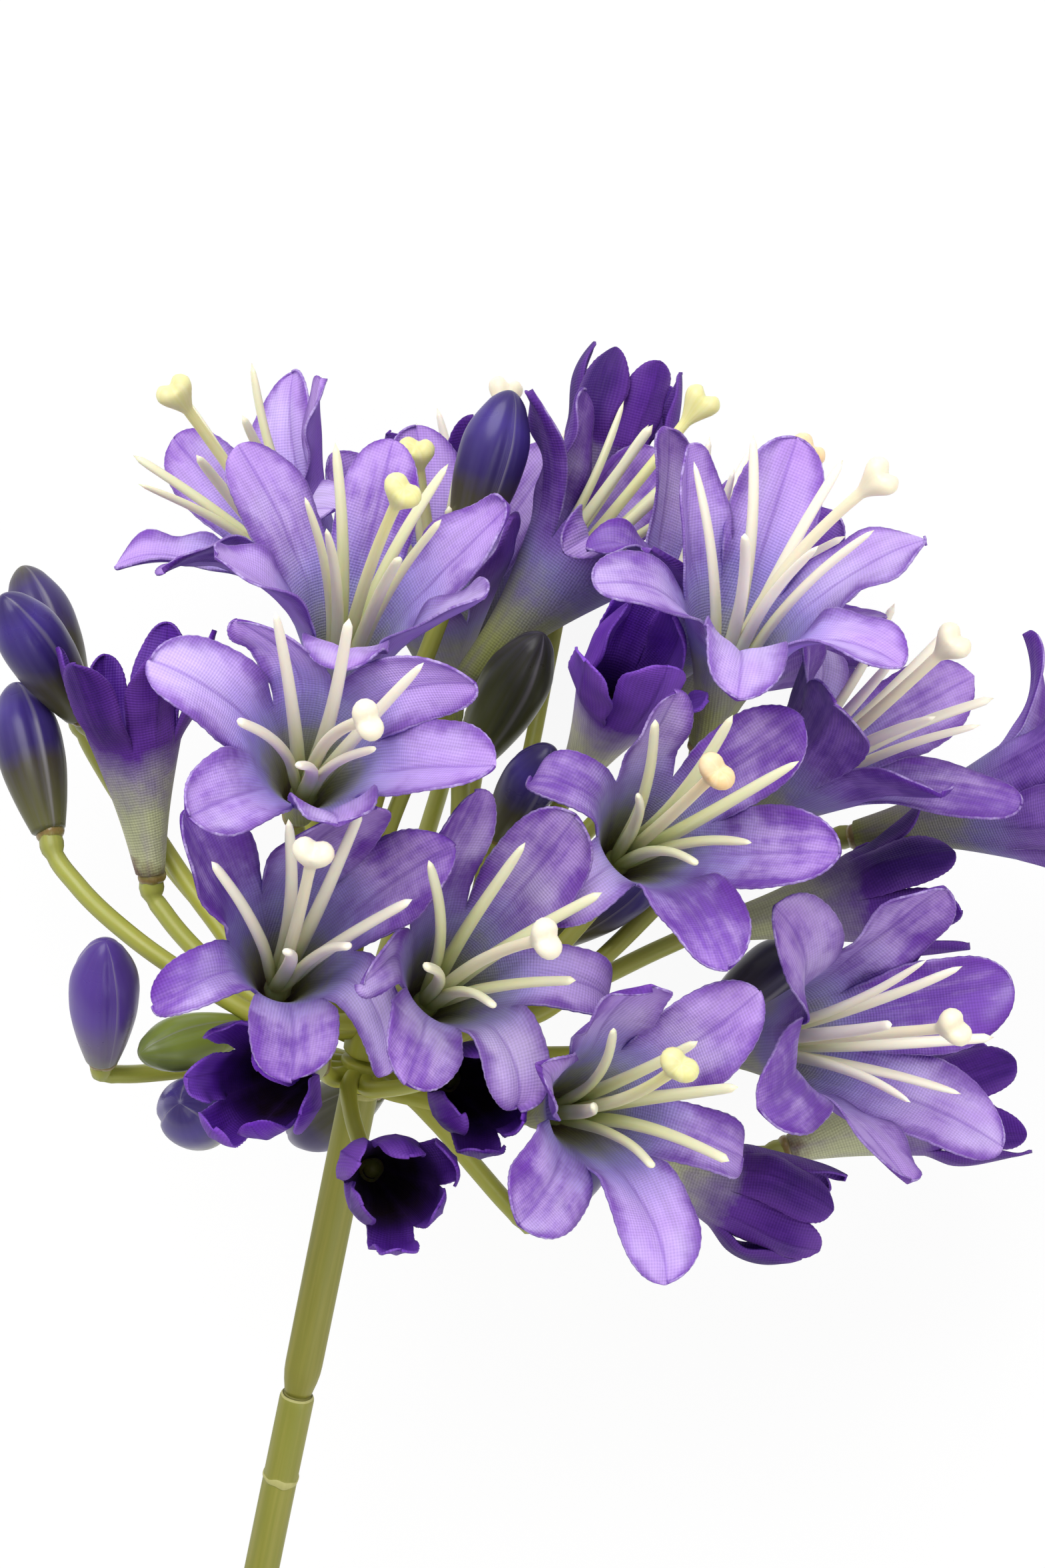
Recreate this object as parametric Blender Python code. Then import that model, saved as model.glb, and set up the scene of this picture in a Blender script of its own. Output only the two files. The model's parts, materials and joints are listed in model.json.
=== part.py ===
"""Artificial agapanthus: one cut flower stem, laid down on a flat surface.

Pressed fabric florets, moulded stamens, moulded buds and three whorls of moulded stalks, threaded on a wire
that runs down a plastic stem. The stem lies along Y with the flower head at +Y. It rests on the cut end of
the stem and on the lowest heads, so the head is raised off the surface and the stem slopes down behind it.

Metres, +Z up. Shapes are worked out around the hub, where the stalks meet, and the whole is then set down so
that the middle of the bottom of its box is at the origin.
"""

import math
import random
from dataclasses import dataclass, field, replace

import bmesh
import bpy
from mathutils import Matrix, Vector
from mathutils.bvhtree import BVHTree

MM = 0.001
GAP = 0.35 * MM  # left between pieces that touch

# Stem
STEM_LENGTH = 205 * MM  # from the hub to the cut end
STEM_SLOPE = math.radians(17.7)  # rise of the stem towards the head
WIRE_RADIUS = 1.1 * MM
BORE_RADIUS = 1.45 * MM
WIRE_SIDES = 8
WIRE_INSET = 1.0 * MM  # of the wire's end inside the cut end of the tube
TUBE_RADIUS = 2.55 * MM
SLEEVE_RADIUS = 2.9 * MM
SLEEVE_LENGTH = 51.5 * MM  # that shows, down to the tube's rim
SHOULDER_RADIUS = 2.3 * MM  # the sleeve's outside is drawn in above the rim
SHOULDER_LENGTH = 3.0 * MM
SPIGOT_RADIUS = 1.85 * MM  # the sleeve's lower end goes into the tube
SPIGOT_LENGTH = 12.0 * MM
STEM_SIDES = 12

# Collars, each moulded in one piece with its stalks, one on top of the other
COLLAR_RADIUS = 3.6 * MM
COLLAR_HEIGHT = 5.0 * MM
COLLAR_PITCH = COLLAR_HEIGHT + GAP
COLLAR_DOME = 1.5 * MM  # of the top collar, which is closed over the wire
STALK_RADIUS = 1.25 * MM
STALK_ROOT = 1.3 * MM  # depth of a stalk's root in the wall of its collar
STALK_LEAVE = 2.2 * MM  # how far out from the collar a stalk starts to bend
STALK_END_RADIUS = 1.7 * MM
STALK_END_LENGTH = 2.2 * MM
STALK_SPAN = 6 * MM
MOST_STALK_SPANS = 5
WHORLS = 3
STALK_SIDES = 6
TIP = 0.4 * MM  # height of the blunt point that closes an end
HEAD_TIP = 0.6 * MM  # the same, at the base of a head

# Buds
BUD_LENGTH = 24 * MM
BUD_RADIUS = 5.1 * MM
BUD_GROOVES = 3
BUD_GROOVE_WIDTH = 0.90  # radius in a groove, as a share of the radius beside it
# Shares of the bud's length and of its radius
BUD_PROFILE = ((0.0, 0.52), (0.20, 0.78), (0.48, 1.0), (0.74, 0.93), (0.92, 0.54))

# Stamens
PLUG_RADIUS = 1.25 * MM
PLUG_BASE = 3.9 * MM
PLUG_SPLAY = 10 * MM  # where the filaments leave the plug
PLUG_SPLAY_RADIUS = 1.9 * MM
PLUG_TOP_RADIUS = 1.0 * MM
PLUG_TOP = 12 * MM
FILAMENT_HEIGHT = 47 * MM
FILAMENT_SPREAD = 13 * MM
FILAMENT_WIDTH = 0.9 * MM
FILAMENT_FLATNESS = 0.75
FILAMENT_ROWS = ((0.40, 1.0), (0.72, 0.85))  # shares of the filament's length and of its width
FILAMENT_LEAN = 2.5 * MM
PISTIL_HEIGHT = 57 * MM
KNOB_RADIUS = 2.3 * MM
KNOB_LENGTH = 6.5 * MM
KNOB_WIDEST = 0.62  # height of the knob's widest ring, as a share of its length
STYLE_RADIUS = 0.95 * MM  # of the pistil halfway up
NECK_RADIUS = 1.1 * MM  # just below the knob

# Florets
LOBES = 6
WAIST = 0.42  # height of a funnel's middle ring, as a share of its length
WAIST_BULGE = 1.04
LINER_GAP = 1.6 * GAP  # between the inside of a funnel and the foot of its stamens
LINER_TIP = 0.5 * MM
GUARD_RISE = 3 * MM  # how far past its rim a funnel is kept clear of other pieces
GUARD_SPREAD = 1.5 * MM
TWO_PI = 2 * math.pi


@dataclass(frozen=True)
class Shell:
    """Sizes of a pressed fabric floret: a funnel with six lobes on its rim."""

    tube_length: float
    rim_radius: float
    base_radius: float
    swell: float  # power of the funnel's widening
    lobe_length: float
    lobe_width: float  # half the width of a lobe at its widest
    rows: tuple  # shares of the lobe's length and of its width
    wall: float = 0.8 * MM
    thickness: float = 1.0 * MM  # of a lobe along its midrib

    def radius(self, height):
        """Outer radius of the funnel at a height."""
        share = height / self.tube_length
        return self.base_radius + (self.rim_radius - self.base_radius) * share**self.swell

    def rim_angle(self):
        """Slope of the funnel at its rim, from the axis."""
        rise = (self.rim_radius - self.base_radius) * self.swell / self.tube_length
        return math.atan(rise)


OPEN = Shell(
    tube_length=24 * MM,
    rim_radius=9.0 * MM,
    base_radius=2.3 * MM,
    swell=1.6,
    lobe_length=22 * MM,
    lobe_width=6.4 * MM,
    rows=((0.20, 0.78), (0.45, 1.0), (0.70, 0.88), (0.90, 0.50)),
)
HALF = Shell(
    tube_length=20 * MM,
    rim_radius=7.0 * MM,
    base_radius=2.3 * MM,
    swell=1.3,
    lobe_length=16 * MM,
    lobe_width=4.7 * MM,
    rows=((0.28, 0.76), (0.62, 0.94), (0.88, 0.55)),
)

# Size of a short lobe, which a capital letter stands for
SHORT_LOBE = 0.72

# How far a lobe has turned out from the floret's axis at its tip, in degrees: upright, open, wide, reflexed
# and curled lobes of an open floret, then tight, straight and loose ones of a half-open floret
FLARES = {"u": 24, "o": 46, "w": 72, "r": 105, "c": 150, "t": -20, "s": 0, "l": 26}


@dataclass(frozen=True)
class Lobe:
    """Shape of one lobe of a floret."""

    azimuth: float
    flare: float  # angle from the axis at the tip
    lean: float = 0.0  # how far the tip moves sideways
    twist: float = 0.0
    size: float = 1.0
    step: float = 0.0  # outwards (+) or inwards (-) of the ring of lobes


@dataclass(frozen=True)
class Head:
    """One flower head: where its base is from the hub, and which way it faces.

    Bearings are clockwise from +Y as seen from above, and pitches are up from level, in degrees. The reach
    from the hub to the base is in millimetres. Lobes are named by the letters of FLARES.
    """

    name: str
    whorl: int
    bearing: float
    pitch: float
    reach: float
    aim_bearing: float
    aim_pitch: float
    roll: float = 0.0
    lobes: str = ""
    size: float = 1.0
    lean: tuple = (0, 4)  # turn about the floret's axis and millimetres by which its pistil leans


OPEN_HEADS = (
    Head("01", 2, -12, -18, 62, -51, 26, 45, "wrowow", 0.92, lean=(60, 6)),
    Head("02", 2, 1, -33, 60, -17, 40, 30, "owowoo", lean=(50, 5)),
    Head("03", 2, -19, 15, 48, 3, 46, 33, "wwooow", lean=(90, 7)),
    Head("04", 1, 3, -8, 57, 30, 4, 30, "wCRouu", lean=(0, 2)),
    Head("05", 1, 25, 2, 57, 24, 17, 30, "Crwoou", lean=(60, 8)),
    Head("06", 1, 36, 12, 68, 4, 42, 30, "rrrwou", lean=(150, 13)),
    Head("07", 1, 49, -4, 60, 37, 32, 15, "ooowwC", lean=(60, 6)),
    Head("08", 1, 56, -19, 86, 66, 16, 50, "ouooor", 0.92, lean=(20, 5)),
    Head("09", 2, -27, 36, 44, 10, 68, 2, "wwwwou", lean=(140, 9)),
    Head("10", 2, -76, 57, 27, 11, 65, 50, "CwCooo", lean=(260, 2)),
    Head("11", 2, 44, 70, 24, 31, 63, 36, "owCCoo", lean=(120, 6)),
    Head("12", 2, 42, 19, 45, 34, 66, 24, "CCwooU", 0.95, lean=(40, 2)),
    Head("13", 0, 99, 34, 32, 63, 66, 55, "UwwCou", lean=(320, 6)),
    Head("14", 0, 79, 2, 48, 71, 42, 42, "rroooo", 1.1, lean=(40, 9)),
    Head("15", 1, 33, -21, 66, 24, -36, 30, "oowoou", lean=(100, 5)),
    Head("16", 2, 6, -33, 63, -11, -14, 30, "owwwoo", lean=(200, 5)),
)
HALF_HEADS = (
    Head("01", 1, -65, -6, 42, -17, 13, 0, "llllll", 1.06),
    Head("02", 1, 26, 9, 50, 17, 47, 0, "tlslts", 1.05),
    Head("03", 0, -120, 60, 16, -118, 74, 0, "tstsst", 0.86),
    Head("04", 0, 164, 52, 28, 81, 80, 0, "tttttt", 0.72),
    Head("05", 0, 98, 56, 23, 80, 78, 0, "tttttt", 0.78),
    Head("06", 1, 61, -14, 58, 66, -3, 0, "lslsls"),
    Head("07", 0, 101, -15, 40, 101, -4, 0, "ststst"),
    Head("08", 1, 94, -22, 73, 63, -4, 0, "lslsls"),
    Head("09", 2, 11, -18, 81, 5, -4, 0, "ststls"),
)
BUD_HEADS = (
    Head("01", 1, -55, -18, 72, -33, -5),
    Head("02", 1, -54, -7, 67, -42, 35),
    Head("03", 1, -69, -3, 58, -27, -16),
    Head("04", 0, -105, 7, 40, -5, 42),
    Head("05", 0, -96, 15, 20, -114, 44, size=0.8),
    Head("06", 0, -131, 0, 27, -40, 75),
    Head("07", 0, 168, -60, 16, -137, -48),
    Head("08", 2, -1, 0, 76, 5, 15),
    Head("09", 2, 8, 0, 45, 18, 29),
    Head("10", 1, 20, 6, 37, 19, 42, size=0.82),
    Head("11", 0, 49, -15, 33, 40, 30),
    Head("12", 0, 77, -21, 56, 40, -35),
    Head("13", 0, 124, 0, 36, 21, 48),
)

GREEN_BUDS = ("05",)


def towards(bearing, pitch):
    """Unit vector for a bearing from +Y and a pitch from level, in degrees."""
    turn, rise = math.radians(bearing), math.radians(pitch)
    return Vector((math.sin(turn) * math.cos(rise), math.cos(turn) * math.cos(rise), math.sin(rise)))


def frame_along(axis, origin, roll=0.0):
    """Matrix that takes +Z to an axis at an origin, with +X level before the roll."""
    z = axis.normalized()
    side = Vector((0, 0, 1)).cross(z)
    x = side.normalized() if side.length > 1e-3 else Vector((1, 0, 0))
    y = z.cross(x)
    turn = Matrix((x, y, z)).transposed() @ Matrix.Rotation(roll, 3, "Z")
    return Matrix.Translation(origin) @ turn.to_4x4()


STEM_AXIS = towards(0, math.degrees(STEM_SLOPE))


# ---------------------------------------------------------------- meshes


def ring(bm, radius, height, sides, turn=0.0):
    """Adds a level ring of vertices around Z."""
    return [
        bm.verts.new((radius * math.cos(a), radius * math.sin(a), height))
        for a in (turn + TWO_PI * i / sides for i in range(sides))
    ]


def bridge(bm, lower, upper):
    """Joins two rings that have the same number of vertices, the lower one first."""
    for i in range(len(lower)):
        j = (i + 1) % len(lower)
        bm.faces.new((lower[i], lower[j], upper[j], upper[i]))


def close(bm, rim, apex):
    """Closes a ring with a fan to a point above it."""
    top = bm.verts.new(apex)
    for i in range(len(rim)):
        bm.faces.new((rim[i], rim[(i + 1) % len(rim)], top))


def split_bridge(bm, six, twelve):
    """Joins a ring of six to a ring of twelve above it."""
    for i in range(LOBES):
        j = (i + 1) % LOBES
        near, middle, far = twelve[2 * i], twelve[2 * i + 1], twelve[(2 * i + 2) % 12]
        bm.faces.new((six[i], middle, near))
        bm.faces.new((six[i], six[j], middle))
        bm.faces.new((six[j], far, middle))


def lobe_section(shell, lobe, share, width, extra=0.0):
    """Left, outer, right and inner points of a lobe at a share of its length."""
    start, end = shell.rim_angle(), math.radians(lobe.flare)
    length = shell.lobe_length * lobe.size * share
    curl = (end - start) / (shell.lobe_length * lobe.size)
    angle = start + curl * length
    if abs(end - start) < 1e-4:
        reach, rise = math.sin(start) * length, math.cos(start) * length
    else:
        reach = (math.cos(start) - math.cos(angle)) / curl
        rise = (math.sin(angle) - math.sin(start)) / curl
    ease = min(1.0, share / 0.3)
    radius = shell.rim_radius - shell.wall / 2 + reach + lobe.step * ease
    middle = Vector((radius, lobe.lean * share**2, shell.tube_length + rise))
    inward = Vector((-math.cos(angle), 0, math.sin(angle)))
    across = Vector((0, 1, 0))
    turn = Matrix.Rotation(lobe.twist * share, 3, Vector((math.sin(angle), 0, math.cos(angle))))
    inward, across = turn @ inward, turn @ across
    half = shell.lobe_width * lobe.size * width + extra
    flattening = 1 + 2.2 * share if lobe.flare > 30 else 1
    wrap = max(shell.rim_radius, radius) * flattening
    bend = half / wrap
    edge_in = inward * wrap * (1 - math.cos(bend))
    edge_out = across * wrap * math.sin(bend)
    half_thick = shell.thickness / 2 + extra
    spin = Matrix.Rotation(lobe.azimuth, 3, "Z")
    points = (
        middle + edge_in + edge_out,
        middle - inward * half_thick,
        middle + edge_in - edge_out,
        middle + inward * half_thick,
    )
    return [spin @ p for p in points]


def lobe_tip(shell, lobe, extra=0.0):
    """Point at the end of a lobe."""
    end = lobe_section(shell, lobe, 1.0, 0.0)
    before = lobe_section(shell, lobe, 0.95, 0.0)
    tip, last = (end[1] + end[3]) / 2, (before[1] + before[3]) / 2
    return tip + (tip - last).normalized() * extra


def join_sections(bm, rows):
    """Joins sections of a lobe, its outside and inside cut by the same diagonals."""
    for lower, upper in zip(rows, rows[1:]):
        for edge in (0, 2):
            for middle in (1, 3):
                bm.faces.new((lower[edge], lower[middle], upper[middle]))
                bm.faces.new((lower[edge], upper[middle], upper[edge]))


def add_lobe(bm, shell, lobe, rim_outer, rim_inner):
    """Grows a lobe from its three places on the rim, outside and inside."""
    rows = [
        [bm.verts.new(p) for p in lobe_section(shell, lobe, share, width)] for share, width in shell.rows
    ]
    left, outer, right, inner = rows[0]
    for place, edge in ((2, left), (0, right)):
        for rim, middle in ((rim_outer, outer), (rim_inner, inner)):
            bm.faces.new((rim[place], rim[1], middle))
            bm.faces.new((rim[place], middle, edge))
        bm.faces.new((rim_inner[place], rim_outer[place], edge))
    join_sections(bm, rows)
    close(bm, rows[-1], lobe_tip(shell, lobe))


def floret_bmesh(shell, lobes):
    """Pressed fabric floret, its base at the origin and its mouth up +Z."""
    bm = bmesh.new()
    turn = -math.pi / LOBES
    waist = shell.tube_length * WAIST
    foot = PLUG_BASE - GAP
    outer = [
        ring(bm, shell.radius(0), 0, LOBES, turn),
        ring(bm, shell.radius(waist) * WAIST_BULGE, waist, LOBES, turn),
        ring(bm, shell.rim_radius, shell.tube_length, 2 * LOBES, turn),
    ]
    inner = [
        ring(bm, PLUG_RADIUS + LINER_GAP, foot, LOBES, turn),
        ring(bm, shell.radius(waist) * WAIST_BULGE - shell.wall, waist, LOBES, turn),
        ring(bm, shell.rim_radius - shell.wall, shell.tube_length, 2 * LOBES, turn),
    ]
    bridge(bm, outer[0], outer[1])
    split_bridge(bm, outer[1], outer[2])
    close(bm, outer[0][::-1], (0, 0, -HEAD_TIP))
    bridge(bm, inner[0], inner[1])
    split_bridge(bm, inner[1], inner[2])
    close(bm, inner[0][::-1], (0, 0, foot - LINER_TIP))
    for i, lobe in enumerate(lobes):
        places = [(2 * i) % 12, (2 * i + 1) % 12, (2 * i + 2) % 12]
        add_lobe(bm, shell, lobe, [outer[2][p] for p in places], [inner[2][p] for p in places])
    return bm


def lobe_bmesh(shell, lobe, extra=0.0, rooted=True):
    """One lobe alone, from the rim or from its first row on, as a closed solid made larger all round."""
    bm = bmesh.new()
    root = shell.rim_radius * math.sin(math.pi / LOBES) / (shell.lobe_width * lobe.size)
    shares = ((0.0, root),) + shell.rows if rooted else shell.rows
    rows = [[bm.verts.new(p) for p in lobe_section(shell, lobe, *share, extra)] for share in shares]
    join_sections(bm, rows)
    close(bm, rows[-1], lobe_tip(shell, lobe, extra))
    bm.faces.new(rows[0])
    return bm


def funnel_bmesh(shell, extra=0.0):
    """Plain solid of a floret's funnel and the roots of its lobes, for finding what it would touch."""
    bm = bmesh.new()
    length = shell.tube_length
    levels = [(shell.radius(h * length) * WAIST_BULGE, h * length) for h in (0, WAIST, 0.75, 1.0)]
    levels.append((shell.rim_radius + GUARD_SPREAD, length + GUARD_RISE))
    rings = [ring(bm, radius + extra, height, 12) for radius, height in levels]
    for lower, upper in zip(rings, rings[1:]):
        bridge(bm, lower, upper)
    close(bm, rings[0][::-1], (0, 0, -HEAD_TIP - extra))
    bm.faces.new(rings[-1])
    return bm


def bud_bmesh(size, extra=0.0):
    """Moulded bud with shallow grooves, its base at the origin."""
    bm = bmesh.new()
    sides = 3 * BUD_GROOVES
    rings = []
    for share, width in BUD_PROFILE:
        level = []
        for i in range(sides):
            a = TWO_PI * i / sides
            groove = BUD_GROOVE_WIDTH if i % 3 == 0 else 1.0
            r = BUD_RADIUS * width * groove * size + extra
            level.append(bm.verts.new((r * math.cos(a), r * math.sin(a), BUD_LENGTH * size * share)))
        rings.append(level)
    for lower, upper in zip(rings, rings[1:]):
        bridge(bm, lower, upper)
    close(bm, rings[0][::-1], (0, 0, -HEAD_TIP - extra))
    close(bm, rings[-1], (0, 0, BUD_LENGTH * size + extra))
    return bm


@dataclass(frozen=True)
class Fan:
    """How the filaments of one stamen cluster spread, and where its pistil leans."""

    spreads: tuple
    leans: tuple
    pistil: tuple  # sideways moves of the knob


def strand(spread, lean, height, base_radius, base_height, share):
    """Point on the middle of a filament, in the plane of its azimuth."""
    rise = base_height + (height - base_height) * share
    out = base_radius + (spread - base_radius) * (0.35 * share + 0.65 * share**2.2)
    return Vector((out, lean * share**2, rise))


def stamens_bmesh(fan, extra=0.0):
    """Moulded stamens: a plug with six filaments and a pistil with a knob."""
    bm = bmesh.new()
    foot = ring(bm, PLUG_RADIUS, PLUG_BASE, LOBES)
    splay = ring(bm, PLUG_SPLAY_RADIUS, PLUG_SPLAY, LOBES)
    top = ring(bm, PLUG_TOP_RADIUS, PLUG_TOP, LOBES)
    close(bm, foot[::-1], (0, 0, PLUG_BASE - TIP))
    bridge(bm, foot, splay)
    base_radius = (PLUG_SPLAY_RADIUS + PLUG_TOP_RADIUS) / 2
    base_height = (PLUG_SPLAY + PLUG_TOP) / 2
    for i in range(LOBES):
        j = (i + 1) % LOBES
        azimuth = TWO_PI * (i + 0.5) / LOBES
        spin = Matrix.Rotation(azimuth, 3, "Z")
        spread, lean = fan.spreads[i], fan.leans[i]
        last = [splay[i], splay[j], top[j], top[i]]
        for share, width in FILAMENT_ROWS:
            middle = strand(spread, lean, FILAMENT_HEIGHT, base_radius, base_height, share)
            ahead = strand(spread, lean, FILAMENT_HEIGHT, base_radius, base_height, share + 0.02)
            along = (ahead - middle).normalized()
            across = Vector((0, 1, 0))
            out = across.cross(along).normalized()
            w = FILAMENT_WIDTH * width + extra
            t = FILAMENT_WIDTH * FILAMENT_FLATNESS * width + extra
            corners = (
                middle + out * t - across * w,
                middle + out * t + across * w,
                middle - out * t + across * w,
                middle - out * t - across * w,
            )
            level = [bm.verts.new(spin @ p) for p in corners]
            bridge(bm, last, level)
            last = level
        close(bm, last, spin @ strand(spread, lean, FILAMENT_HEIGHT, base_radius, base_height, 1.0))
    last = top
    neck = 1 - KNOB_LENGTH / (PISTIL_HEIGHT - PLUG_TOP)
    x, y = fan.pistil
    rows = (
        (neck * 0.55, STYLE_RADIUS),
        (neck, NECK_RADIUS),
        (neck + (1 - neck) * KNOB_WIDEST, KNOB_RADIUS),
    )
    for share, radius in rows:
        middle = Vector((x * share**2, y * share**2, PLUG_TOP + (PISTIL_HEIGHT - PLUG_TOP) * share))
        slope = Vector((2 * x * share, 2 * y * share, PISTIL_HEIGHT - PLUG_TOP)).normalized()
        tilt = Vector((0, 0, 1)).rotation_difference(slope).to_matrix()
        level = []
        for i in range(LOBES):
            a = TWO_PI * i / LOBES
            r = radius + extra
            level.append(bm.verts.new(middle + tilt @ Vector((r * math.cos(a), r * math.sin(a), 0))))
        bridge(bm, last, level)
        last = level
    close(bm, last, (x, y, PISTIL_HEIGHT + extra))
    return bm


def tube_points(points, radii, sides):
    """Rings of points square to a path, and the directions of the path there."""
    rings, normal = [], None
    for i, (point, radius) in enumerate(zip(points, radii)):
        before, after = points[max(i - 1, 0)], points[min(i + 1, len(points) - 1)]
        along = (after - before).normalized()
        if normal is None:
            normal = along.orthogonal().normalized()
        else:
            normal = (normal - along * normal.dot(along)).normalized()
        side = along.cross(normal)
        rings.append(
            [
                point + (normal * math.cos(a) + side * math.sin(a)) * radius
                for a in (TWO_PI * k / sides for k in range(sides))
            ]
        )
    return rings


def tube_bmesh(points, radii, sides):
    """Closed tube along a path with a blunt point at each end."""
    bm = bmesh.new()
    rings = [[bm.verts.new(p) for p in level] for level in tube_points(points, radii, sides)]
    for lower, upper in zip(rings, rings[1:]):
        bridge(bm, lower, upper)
    close(bm, rings[0][::-1], points[0] - (points[1] - points[0]).normalized() * TIP)
    close(bm, rings[-1], points[-1] + (points[-1] - points[-2]).normalized() * TIP)
    return bm


# ---------------------------------------------------------------- clearing


@dataclass
class Obstacle:
    """Something already in place that others keep clear of."""

    owner: str
    tree: BVHTree
    centre: Vector
    radius: float


def placed_points(bm, matrix):
    """Vertices and faces of a mesh, moved to its place around the hub."""
    bm.verts.index_update()
    points = [matrix @ v.co for v in bm.verts]
    faces = [[v.index for v in f.verts] for f in bm.faces]
    bm.free()
    return points, faces


def obstacle(owner, bm, matrix=Matrix()):
    """Makes an obstacle of a mesh, which is used up."""
    points, faces = placed_points(bm, matrix)
    low = Vector([min(p[k] for p in points) for k in range(3)])
    high = Vector([max(p[k] for p in points) for k in range(3)])
    centre = (low + high) / 2
    radius = max((p - centre).length for p in points)
    return Obstacle(owner, BVHTree.FromPolygons(points, faces), centre, radius)


def touches(candidate, obstacles, but=()):
    """Owners of the obstacles that a candidate cuts into."""
    found = []
    for other in obstacles:
        if other.owner in but:
            continue
        if (other.centre - candidate.centre).length > other.radius + candidate.radius:
            continue
        if candidate.tree.overlap(other.tree):
            found.append(other.owner)
    return found


def first_clear(choices, find_hits):
    """First choice that cuts into nothing, or the one that cuts into least, and what it cuts into."""
    best = None
    for choice in choices:
        hits = find_hits(choice)
        if not hits:
            return choice, hits
        if best is None or len(hits) < len(best[1]):
            best = (choice, hits)
    return best


# ---------------------------------------------------------------- the flower


@dataclass
class Piece:
    """A head at its place around the hub."""

    head: Head
    kind: str
    matrix: Matrix
    base: Vector
    axis: Vector
    lobes: list = field(default_factory=list)
    fan: Fan = None

    @property
    def label(self):
        """Name that its obstacles go by."""
        return f"{self.kind}_{self.head.name}"


def shell_of(piece):
    """Sizes of a floret, larger or smaller than its kind's by the size of its head."""
    shell, size = (OPEN if piece.kind == "open" else HALF), piece.head.size
    return replace(shell, lobe_length=shell.lobe_length * size, lobe_width=shell.lobe_width * size)


def set_out(kind, heads):
    """Places the heads of one kind around the hub."""
    pieces = []
    for head in heads:
        base = towards(head.bearing, head.pitch) * head.reach * MM
        axis = towards(head.aim_bearing, head.aim_pitch)
        matrix = frame_along(axis, base, math.radians(head.roll))
        pieces.append(Piece(head, kind, matrix, base, axis))
    return pieces


def core_bmesh(piece, extra=0.0):
    """Bud, or funnel of a floret, for finding what it would touch."""
    if piece.kind == "bud":
        return bud_bmesh(piece.head.size, extra)
    return funnel_bmesh(OPEN if piece.kind == "open" else HALF, extra)


def wanted_lobes(piece, rng):
    """Lobes of a floret before they make room for each other."""
    shell_open = piece.kind == "open"
    lobes = []
    for i in range(LOBES):
        azimuth = TWO_PI * i / LOBES
        letter = piece.head.lobes[i]
        if shell_open:
            flare = FLARES[letter.lower()] + rng.uniform(-6, 6)
            twist = rng.uniform(-0.25, 0.25)
            step = 0.5 * MM * (1 if i % 2 else -1)
            size = rng.uniform(0.94, 1.04) * (SHORT_LOBE if letter.isupper() else 1.0)
        else:
            flare = FLARES[letter] + rng.uniform(-4, 4)
            twist = 0.0
            step = 1.0 * MM * (1 if i % 2 else -1)
            size = rng.uniform(0.95, 1.05)
        lean = rng.uniform(-1.5, 1.5) * MM if shell_open else 0.0
        lobes.append(Lobe(azimuth, flare, lean, twist, size, step))
    return lobes


def lobe_choices(lobe, is_open):
    """A lobe as wanted, then bent and leant further and further from that."""
    bends = (0, 8, -8, 16, -16, 26, -26, 38, -38, 52, -52, -68) if is_open else (0, 6, -6, 12, -10, -18)
    leans = (0, 3, -3, 6, -6, 9, -9) if is_open else (0, 1.5, -1.5)
    sizes = (1.0, 0.88, 0.76, 0.64)
    ranked = sorted(
        (abs(b) / 8 + abs(n) / 3 + (1 - s) * 25, b, n, s) for b in bends for n in leans for s in sizes
    )
    for _, bend, lean, size in ranked:
        yield replace(lobe, flare=lobe.flare + bend, lean=lobe.lean + lean * MM, size=lobe.size * size)


def collar_centre(piece):
    """Middle of the collar that a head's stalk springs from."""
    return STEM_AXIS * (piece.head.whorl - 1) * COLLAR_PITCH


def root_turns(kin):
    """Even turns around one collar for its stalks, in the order in which their heads lie around the stem."""
    up = Vector((1, 0, 0)).cross(STEM_AXIS)
    natural = {}
    for piece in kin:
        outward = piece.base - collar_centre(piece)
        natural[piece.label] = math.atan2(outward.dot(up), outward.x)
    order = sorted(natural, key=natural.get)
    step = TWO_PI / len(order)
    best = None
    for start in range(len(order)):
        lap = [(label, natural[label] + (TWO_PI if i < start else 0)) for i, label in enumerate(order)]
        lap = lap[start:] + lap[:start]
        first = sum(turn - i * step for i, (_, turn) in enumerate(lap)) / len(lap)
        turns = {label: first + i * step for i, (label, _) in enumerate(lap)}
        strain = sum((turn - turns[label]) ** 2 for label, turn in lap)
        if best is None or strain < best[0]:
            best = (strain, turns)
    return best[1]


def stalk_path(piece, root_turn, choice):
    """Centre line of a stalk from inside the wall of its collar to the base of its head."""
    bow, swing = choice
    centre = collar_centre(piece)
    end = piece.base - piece.axis * (HEAD_TIP + GAP + TIP)
    radial = Matrix.Rotation(-root_turn, 3, STEM_AXIS) @ Vector((1, 0, 0))
    start = centre + radial * (COLLAR_RADIUS + STALK_LEAVE)
    reach = (end - start).length
    leave = (radial + (end - start).normalized() * 0.8 + swing).normalized()
    first = start + leave * reach * 0.3
    second = end - piece.axis * reach * (0.22 + bow)
    points = [centre + radial * (COLLAR_RADIUS - STALK_ROOT)]
    spans = min(max(int(reach / STALK_SPAN), 2), MOST_STALK_SPANS)
    for k in range(spans):
        t = k / spans
        s = 1 - t
        points.append(start * s**3 + first * 3 * s * s * t + second * 3 * s * t * t + end * t**3)
    return points + [end - piece.axis * STALK_END_LENGTH, end]


def stalk_bmesh(path, extra=0.0):
    """Stalk with its small end collar."""
    radii = [STALK_RADIUS + extra] * (len(path) - 1) + [STALK_END_RADIUS + extra]
    return tube_bmesh(path, radii, STALK_SIDES)


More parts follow.
